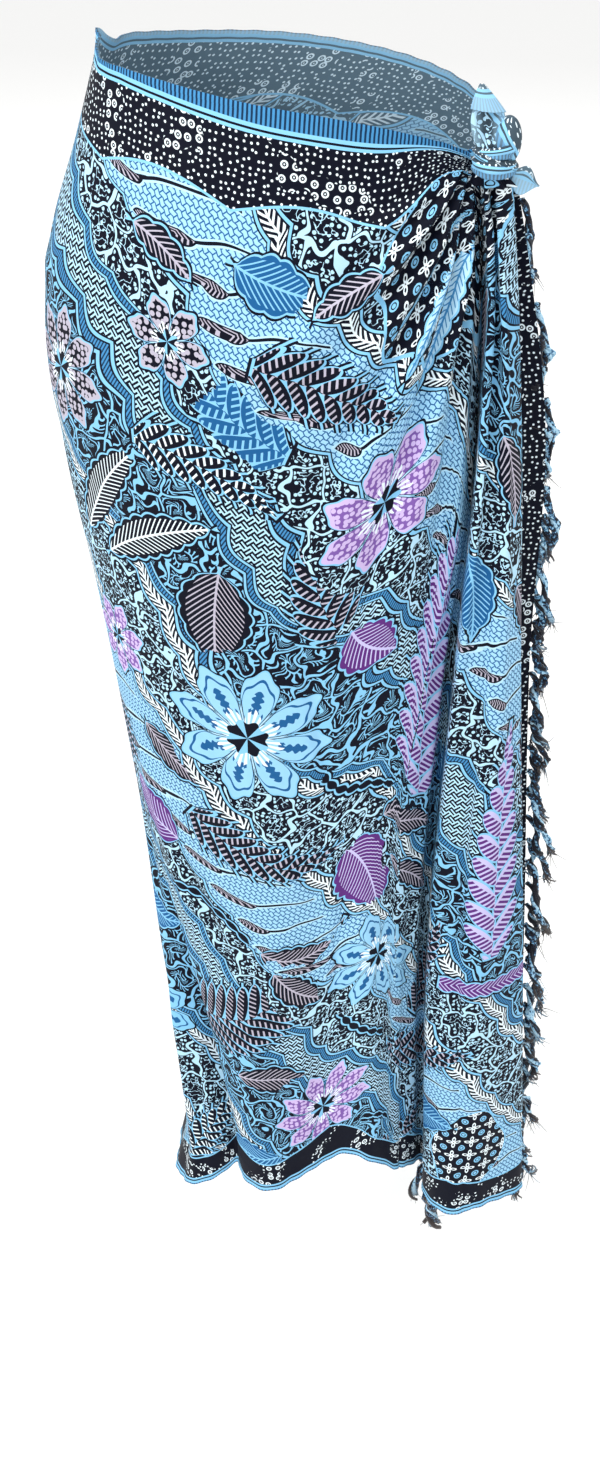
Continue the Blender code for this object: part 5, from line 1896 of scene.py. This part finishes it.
# %% Thread material
SEPIA = "#5F5550"
THREAD_PATCH, THREAD_TWIST = 430.0, 420.0
THREAD_RAMP = ((0.22, INK), (0.42, INK), (0.47, NAVY), (0.51, DEEP), (0.56, SKY), (0.62, ICE))
THREAD_STEPS = """
mix_0 = MULTIPLY_ADD tint 0.55 patch
mix = SUBTRACT mix_0 0.36
tip_0 = SUBTRACT share 0.70
tip_1 = MULTIPLY tip_0 5
tip_2 = MAXIMUM tip_1 0
tip_3 = MULTIPLY tip_2 patch
"""
THREAD_FINISH = (("Roughness", 0.7), ("Sheen Weight", 0.2), ("Specular IOR Level", 0.3))
TWIST_STRENGTH, TWIST_HIGH = 0.4, 0.0006


def dyed_threads():
    """Twisted rayon yarn, dyed unevenly, paler and browner at the tips."""
    material, tree, shader = new_material("rayon_yarn_twisted_dyed")
    spot = output(add(tree, "TexCoord"), "Object")
    known = {"patch": output(add(tree, "TexNoise", spot, THREAD_PATCH, 2.0, 0.6, noise_dimensions="3D"))}
    for name in ("share", "tint"):
        known[name] = output(add(tree, "Attribute", attribute_name="yarn_" + name), "Fac")
    work_out(tree, known, THREAD_STEPS)
    ramp = add(tree, "ValToRGB", known["mix"])
    points = ramp.color_ramp.elements
    for point, (at, code) in zip(points, (THREAD_RAMP[0], THREAD_RAMP[-1])):
        point.position, point.color = at, colour(code)
    for at, code in THREAD_RAMP[1:-1]:
        points.new(at).color = colour(code)
    shown = layer(tree, known["tip_3"], ramp.outputs["Color"], SEPIA)
    twist = output(add(tree, "TexWave", spot, THREAD_TWIST, 3.0, bands_direction="DIAGONAL"), "Fac")
    finish_surface(tree, shader, shown, twist, TWIST_STRENGTH, TWIST_HIGH, THREAD_FINISH)
    print("threads:", len(tree.nodes), "nodes")
    return material


threads = dyed_threads()

# %% Both fringes
front_fringe = fringe(
    "front_fringe_yarns", "front_fringe", grids["end"], FRONT_FRINGE_TURN, 11,
    threads,
)
under_fringe = fringe(
    "under_fringe_yarns", "under_fringe", grids["under"], UNDER_FRINGE_TURN, 23,
    threads, bulk=1.35, last_bulk=0.75,
)

# %% [markdown]
# ## The knot
# The two upper corners are crossed and tied. One comes up through the knot and opens into a hollow ear,
# whose pale tip folds forwards as a hood; the other is wound round it as a band of soft rolls, bulges into
# a lobe on the right, and ends in a short flap at the side. Each is a closed surface on a grid: level
# rings for the core, a roll carried round an ellipse for each turn of the band, and thin curved leaves for
# the two tips.

# %% Knot sizes
KNOT = np.array((0.1215, -0.0710, -0.0340))
CORE_COLUMNS = ("height", "half_wide", "half_deep", "right", "back", "flute")
CORE = (
    (-0.0192, 0.0132, 0.01, 0.0034, 0.0034, 0.17),
    (-0.015, 0.0108, 0.009, 0.0016, 0.0016, 0.16),
    (-0.0115, 0.0088, 0.008, 0, 0, 0.1),
    (-0.006, 0.0074, 0.007, 0, 0, 0.05),
    (0, 0.0064, 0.0062, -0.0014, 0, 0.08),
    (0.005, 0.007, 0.0056, -0.0026, -0.0004, 0.12),
    (0.01, 0.008, 0.005, -0.0034, -0.0006, 0.13),
    (0.016, 0.009, 0.004, -0.0036, -0.0006, 0.1),
    (0.024, 0.0088, 0.003, -0.0038, -0.0004, 0.05),
    (0.029, 0.0058, 0.0022, -0.0052, -0.0004, 0.03),
    (0.034, 0.0032, 0.0016, -0.0066, -0.0004, 0),
    (0.0378, 0.001, 0.0008, -0.0078, -0.0004, 0),
)
CORE_FLUTES, CORE_TWIST = 9, 40.0
EAR_SCOOP = 0.0050
ROLL_COLUMNS = ("up", "tilt", "half_high", "half_thick", "reach", "lump_at", "lump")
ROLLS = (
    (0.0012, -0.12, 0.0032, 0.0025, 0.0004, 310, 0.2),
    (-0.0074, 0.06, 0.0046, 0.003, 0.0006, 250, 0.18),
    (-0.0028, 0.34, 0.003, 0.0026, 0.001, 15, 0.3),
)
BAND_INSIDE = (0.0068, 0.0064)
BAND_RIGHT = 0.0016
ROLL_STEPS, ROLL_SECTION = 96, 26
print("knot at", np.round(KNOT, 4))

# %% Core of the knot


def closed_rings(name, rings):
    """A closed solid from rings of points: walls between them and a flat cap at each end."""
    steps, sides = rings.shape[:2]
    index = np.arange(steps * sides).reshape(steps, sides)
    nxt = np.roll(index, -1, axis=1)
    walls = np.stack([index[:-1], nxt[:-1], nxt[1:], index[1:]], axis=-1).reshape(-1, 4)
    mesh = bpy.data.meshes.new(name)
    caps = [index[0, ::-1].tolist(), index[-1].tolist()]
    mesh.from_pydata(rings.reshape(-1, 3).tolist(), [], walls.tolist() + caps)
    mesh.shade_smooth()
    return mesh


def core_rings(steps=60, sides=96):
    """Level ellipses with flutes: their sizes follow the table, and a hollow is pressed into the front."""
    heights = np.linspace(CORE[0][0], CORE[-1][0], steps)[:, None]
    turn = np.linspace(0.0, 2 * np.pi, sides, endpoint=False)[None, :]
    size = {name: column(CORE, CORE_COLUMNS, name, heights) for name in CORE_COLUMNS[1:]}
    swell = 1 + size["flute"] * np.cos(CORE_FLUTES * turn + CORE_TWIST * heights)
    swell += 0.5 * size["flute"] * np.cos((2 * CORE_FLUTES + 1) * turn - 30.0 * heights)
    x = KNOT[0] + size["right"] + size["half_wide"] * swell * np.cos(turn)
    scoop = EAR_SCOOP * eased((heights - 0.003) / 0.008) * eased((0.029 - heights) / 0.005)
    y = KNOT[1] + size["back"] + size["half_deep"] * swell * np.sin(turn)
    y = y + scoop * np.clip(-np.sin(turn), 0, 1) ** 3
    z = KNOT[2] + heights + 0 * turn
    return np.stack([x, y, z], axis=-1), heights + 0 * turn, turn + 0 * heights


print("core rings and sides:", core_rings()[0].shape[:2])

# %% Rolls of the band


def roll_grid(roll):
    """One turn of the band: an oval section carried round the core, with a lump and fine pleats along it."""
    turn = np.linspace(0.0, 2 * np.pi, ROLL_STEPS, endpoint=False)[:, None]
    section = np.linspace(0.0, 2 * np.pi, ROLL_SECTION, endpoint=False)[None, :]
    off = (np.degrees(turn) - roll["lump_at"] + 180.0) % 360.0 - 180.0
    lump = 1 + roll["lump"] * np.exp(-((off / 45.0) ** 2))
    pleat = 1 + 0.09 * np.sin(5 * section + 2.0 * np.sin(turn * 2 + roll["lump_at"]))
    half_thick = roll["half_thick"] * lump * pleat
    half_high = roll["half_high"] * lump * pleat
    reach = roll["reach"] + half_thick * (1 + np.cos(section))
    x = KNOT[0] + BAND_RIGHT + (BAND_INSIDE[0] + reach) * np.cos(turn)
    y = KNOT[1] + (BAND_INSIDE[1] + reach) * np.sin(turn)
    z = KNOT[2] + roll["up"] - roll["tilt"] * (x - KNOT[0]) + half_high * np.sin(section)
    return np.stack([x, y, z], axis=-1), turn + 0 * section, section + 0 * turn


print("turns of the band:", len(ROLLS))

# %% [markdown]
# ## Print on the knot
# The knot's folds show other parts of the print, and often the reverse, so each piece is given its own
# place on the flat cloth, far from the hem and the fringed end. How much of the pale reverse shows is a
# number: 1.6 on the rim of the ear, less on the rolls. On the two tips this number also carries painted
# light: they are drawn paler to lift the shade on them. A tip is a leaf: a middle line, widened to both
# sides and cupped.

# %% Knot helpers
LEAF_ROWS, LEAF_COLUMNS, LEAF_HALF = 44, 25, 0.00045
FAR_FROM_HEM_MM, FAR_FROM_END_MM = 600.0, 300.0


def knot_piece(name, mesh, places, node=None, faded=0.0):
    """Adds a piece of the knot with its cloth coordinates. The last number is how much paler the piece is
    drawn: how much of its reverse shows, and on the two tips painted light as well.
    """
    count = len(mesh.vertices)
    reverse = np.ones(count) * np.ravel(faded)
    put_cloth_fields(mesh, places.reshape(count, 4), np.zeros((count, 5)), reverse)
    piece = place(name, mesh, rayon)
    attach(piece, "root")
    if node:
        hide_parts(node)
    return piece


def leaf_shell(name, middle, half_wide, side, front, places, cup, half=LEAF_HALF):
    """A thin curved leaf: a middle line, widened to both sides and cupped towards the front, as a closed
    shell. The cup grows with the square of the distance from the middle line."""
    t = np.linspace(-1.0, 1.0, LEAF_COLUMNS)[None, :, None]
    points = middle[:, None] + t * half_wide[:, None, None] * side + (t**2) * cup[:, None, None] * front
    normal = np.cross(np.gradient(points, axis=0), np.gradient(points, axis=1))
    normal /= np.linalg.norm(normal, axis=-1, keepdims=True) + 1e-9
    return closed_shell(name, points, normal, half), np.concatenate([places.reshape(-1, 4)] * 2)


def flat_places(u, v):
    """Cloth coordinates of a knot piece: far from the hem and the fringed end, whatever its u and v."""
    return np.stack([u, v, FAR_FROM_HEM_MM + 0 * u, FAR_FROM_END_MM + 0 * u], axis=-1)


print("leaf grid:", LEAF_ROWS, "by", LEAF_COLUMNS)

# %% [markdown]
# ## Core and rolls
# Below the rolls the core shows the gathers' crosses, and above them the plain field of the ear. Its rim
# shows the pale reverse all round but in front, where the hollow opens. The rolls show the ribbed band and
# the fine lines.

# %% Core and rolls
BELOW_ROLLS, BELOW_MM, ABOVE_MM = -0.0095, (740.0, 120.0), (560.0, 213.0)
CORE_MM_A_DEGREE, ROLL_MM_A_DEGREE = 0.14, 0.28
RIM_FADED, ROLL_FADED = 1.6, 0.3
ROLL_PRINT_MM = (11.0, 13.0, 17.0)

rings, heights, turns = core_rings()
start_u, start_v = [np.where(heights < BELOW_ROLLS, *pair) for pair in zip(BELOW_MM, ABOVE_MM)]
core_places = flat_places(start_u + np.degrees(turns) * CORE_MM_A_DEGREE, start_v - heights * MM_IN_METRE)
ear_rim = eased((heights - 0.002) / 0.006) * (1.0 - 0.85 * np.clip(-np.sin(turns), 0, 1) ** 4)
core = knot_piece(
    "knot_core_cloth", closed_rings("knot_core_cloth", rings), core_places,
    "knot_core", faded=RIM_FADED * ear_rim,
)
index = np.arange(ROLL_STEPS * ROLL_SECTION).reshape(ROLL_STEPS, ROLL_SECTION)
ahead = np.roll(index, -1, axis=0)
corners = [index, ahead, np.roll(ahead, -1, axis=1), np.roll(index, -1, axis=1)]
roll_faces = np.stack(corners, axis=-1).reshape(-1, 4)
band = []
for k, roll in enumerate(named(ROLL_COLUMNS, ROLLS)):
    points, turn, section = roll_grid(roll)
    u = 100.0 + 70.0 * k + np.degrees(turn) * ROLL_MM_A_DEGREE
    places = flat_places(u, ROLL_PRINT_MM[k] + 7.0 * np.sin(section))
    mesh = make_mesh("knot_roll_%d" % (k + 1), points.reshape(-1, 3), roll_faces)
    band.append(knot_piece(mesh.name, mesh, places, "knot_band" if k == 0 else None, faded=ROLL_FADED))
print("core and", len(band), "rolls")

# %% [markdown]
# ## The two tips
# The upper tip is a hood over the ear, 19 mm wide at its foot and drawn to a point up and to the left. The
# side tip sticks out to the right and down below the rolls: it opens first and then closes to a corner.

# %% Upper tip
HOOD_FOOT, HOOD_WAY = (-0.0036, -0.0052, 0.0244), (-0.0046, 0.0038, 0.0150)
HOOD_HALF_WIDE, HOOD_POINT, HOOD_CUP, HOOD_HALF_THICK = 0.0096, 0.0005, 0.0046, 0.0007
HOOD_SIDE, TOWARDS_BACK, TOWARDS_FRONT = (1.0, 0.0, -0.10), (0.0, 1.0, 0.0), (0.0, -1.0, 0.0)


def straight(foot, way, s):
    """Points on a straight line from a foot beside the knot's middle, at shares s of its way."""
    return KNOT + np.array(foot) + s[:, None] * np.array(way)


s = np.linspace(0.0, 1.0, LEAF_ROWS)
half_wide = HOOD_HALF_WIDE * (1.0 - s**1.1) ** 0.85 + HOOD_POINT
u, v = np.meshgrid(np.linspace(-14.0, 14.0, LEAF_COLUMNS), np.zeros(LEAF_ROWS))
v = v + 2.0 + 18.0 * s[:, None]
mesh, places = leaf_shell(
    "knot_upper_tip", straight(HOOD_FOOT, HOOD_WAY, s), half_wide, np.array(HOOD_SIDE),
    np.array(TOWARDS_BACK), flat_places(u + 150.0, v), HOOD_CUP * (1.0 - 0.8 * s), HOOD_HALF_THICK,
)
# The hood is drawn paler than its print: partly its pale reverse, partly painted light that lifts its shade.
upper_tip = knot_piece("knot_upper_tip", mesh, places, faded=0.75)
print("upper tip:", len(mesh.polygons), "faces")

# %% Side tip
FLAP_FOOT, FLAP_WAY, FLAP_SIDE = (0.0130, 0.0, -0.0136), (0.0170, 0.0052, -0.0076), (0.30, 0.0, 0.95)
FLAP_CUP = 0.0024

half_wide = 0.0046 + 0.0040 * eased(s / 0.35) - 0.0081 * eased((s - 0.40) / 0.60)
u, v = np.meshgrid(np.linspace(2.0, 20.0, LEAF_COLUMNS), np.zeros(LEAF_ROWS))
mesh, places = leaf_shell(
    "knot_side_tip", straight(FLAP_FOOT, FLAP_WAY, s), half_wide, np.array(FLAP_SIDE),
    np.array(TOWARDS_FRONT), flat_places(420.0 + 24.0 * s[:, None] + 0 * u, u), FLAP_CUP * np.sin(np.pi * s),
)
# The side tip is drawn paler in the same way: partly its pale reverse, partly painted light on its shade.
side_tip = knot_piece("knot_side_tip", mesh, places, faded=0.9)
print("side tip:", len(mesh.polygons), "faces")

# %% [markdown]
# ## The lobe
# To the right of the ear the wound corner bulges. It is an egg shape that leans a little to the right,
# with one soft crease pressed in down its side.

# %% Lobe on the right
turn, lift = np.meshgrid(np.linspace(0, 2 * np.pi, 64, endpoint=False), np.linspace(-0.5, 0.5, 41) * np.pi)
lobe_crease = 1 - 0.10 * np.exp(-((np.sin(turn - 1.1) / 0.22) ** 2)) * np.cos(lift)
lobe_across = np.cos(lift) * np.cos(turn) * lobe_crease
lobe_deep = np.cos(lift) * np.sin(turn) * lobe_crease
lobe = np.stack([
    0.0090 + 0.0080 * lobe_across + 0.0022 * np.sin(lift), 0.0004 + 0.0084 * lobe_deep,
    0.0072 + 0.0140 * np.sin(lift) - 0.0034 * lobe_across,
], axis=-1) + KNOT
lobe_places = flat_places(230.0 + np.degrees(turn) * 0.12, 14.0 + 11.0 * np.sin(lift) + 6.0 * np.cos(turn))
right_lobe = knot_piece("knot_right_lobe", closed_rings("knot_right_lobe", lobe), lobe_places, faded=0.4)
print("knot pieces:", len([core, *band, upper_tip, side_tip, right_lobe]))

# %% [markdown]
# ## Stretches and their fringes
# Each stretch is gathered with the fringe pieces that hang from it, if any; nothing more is done with them.

# %% Stretches and their fringes
for name, piece in cloth.items():
    others = {"end": list(front_fringe), "under": list(under_fringe)}.get(name, [])
    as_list(others)

# %% [markdown]
# ## Floor and light
# The photograph is lit by large soft lights from the front, before a white ground. A pale floor and a
# white world give the same even light. A key light from the left shades the folds, a fill and a back light
# soften it, and a small one above the waist lights the inside of the tube.

# %% Floor
FLOOR_HEIGHT = -1.15
FLOOR_HALF = 14.0
PAPER, PAPER_ROUGH = "#FDFDFC", 0.9

square = np.array([(-1, -1, 0), (1, -1, 0), (1, 1, 0), (-1, 1, 0)], float)
paper, _, paper_shader = new_material("paper_backdrop_matt")
paper_shader.inputs["Base Color"].default_value = colour(PAPER)
paper_shader.inputs["Roughness"].default_value = PAPER_ROUGH
corners = FLOOR_HALF * square + (0, 0, FLOOR_HEIGHT)
floor = place("floor", make_mesh("floor", corners, np.array([[0, 1, 2, 3]])), paper)
print("floor at", FLOOR_HEIGHT, "m")

# %% Lights
LIGHT_COLUMNS = ("name", "place", "size", "power")
LIGHTS = (
    ("key", (-2.2, -1.7, 1.5), 1, 42),
    ("fill", (0.5, -1.5, 2), 1.4, 8),
    ("back", (0.3, 3.2, 1.8), 2.4, 44),
    ("top", (0, -0.2, 0.8), 0.5, 4),
)
AIM = Vector((0.02, 0.0, -0.45))
WORLD_STRENGTH = 0.92

for row in named(LIGHT_COLUMNS, LIGHTS):
    data = bpy.data.lights.new(row["name"], "AREA")
    data.shape, data.size, data.energy = "SQUARE", row["size"], row["power"]
    light = bpy.data.objects.new(row["name"], data)
    light.location = row["place"]
    light.visible_camera = False
    light.rotation_euler = (AIM - light.location).to_track_quat("-Z", "Y").to_euler()
    bpy.context.scene.collection.objects.link(light)
world = bpy.data.worlds.new("white_studio")
world.use_nodes = True
background = world.node_tree.nodes["Background"]
background.inputs["Color"].default_value = (1.0, 1.0, 1.0, 1.0)
background.inputs["Strength"].default_value = WORLD_STRENGTH
bpy.context.scene.world = world
bpy.context.scene.view_settings.view_transform = "Standard"
print("lights:", [row[0] for row in LIGHTS])
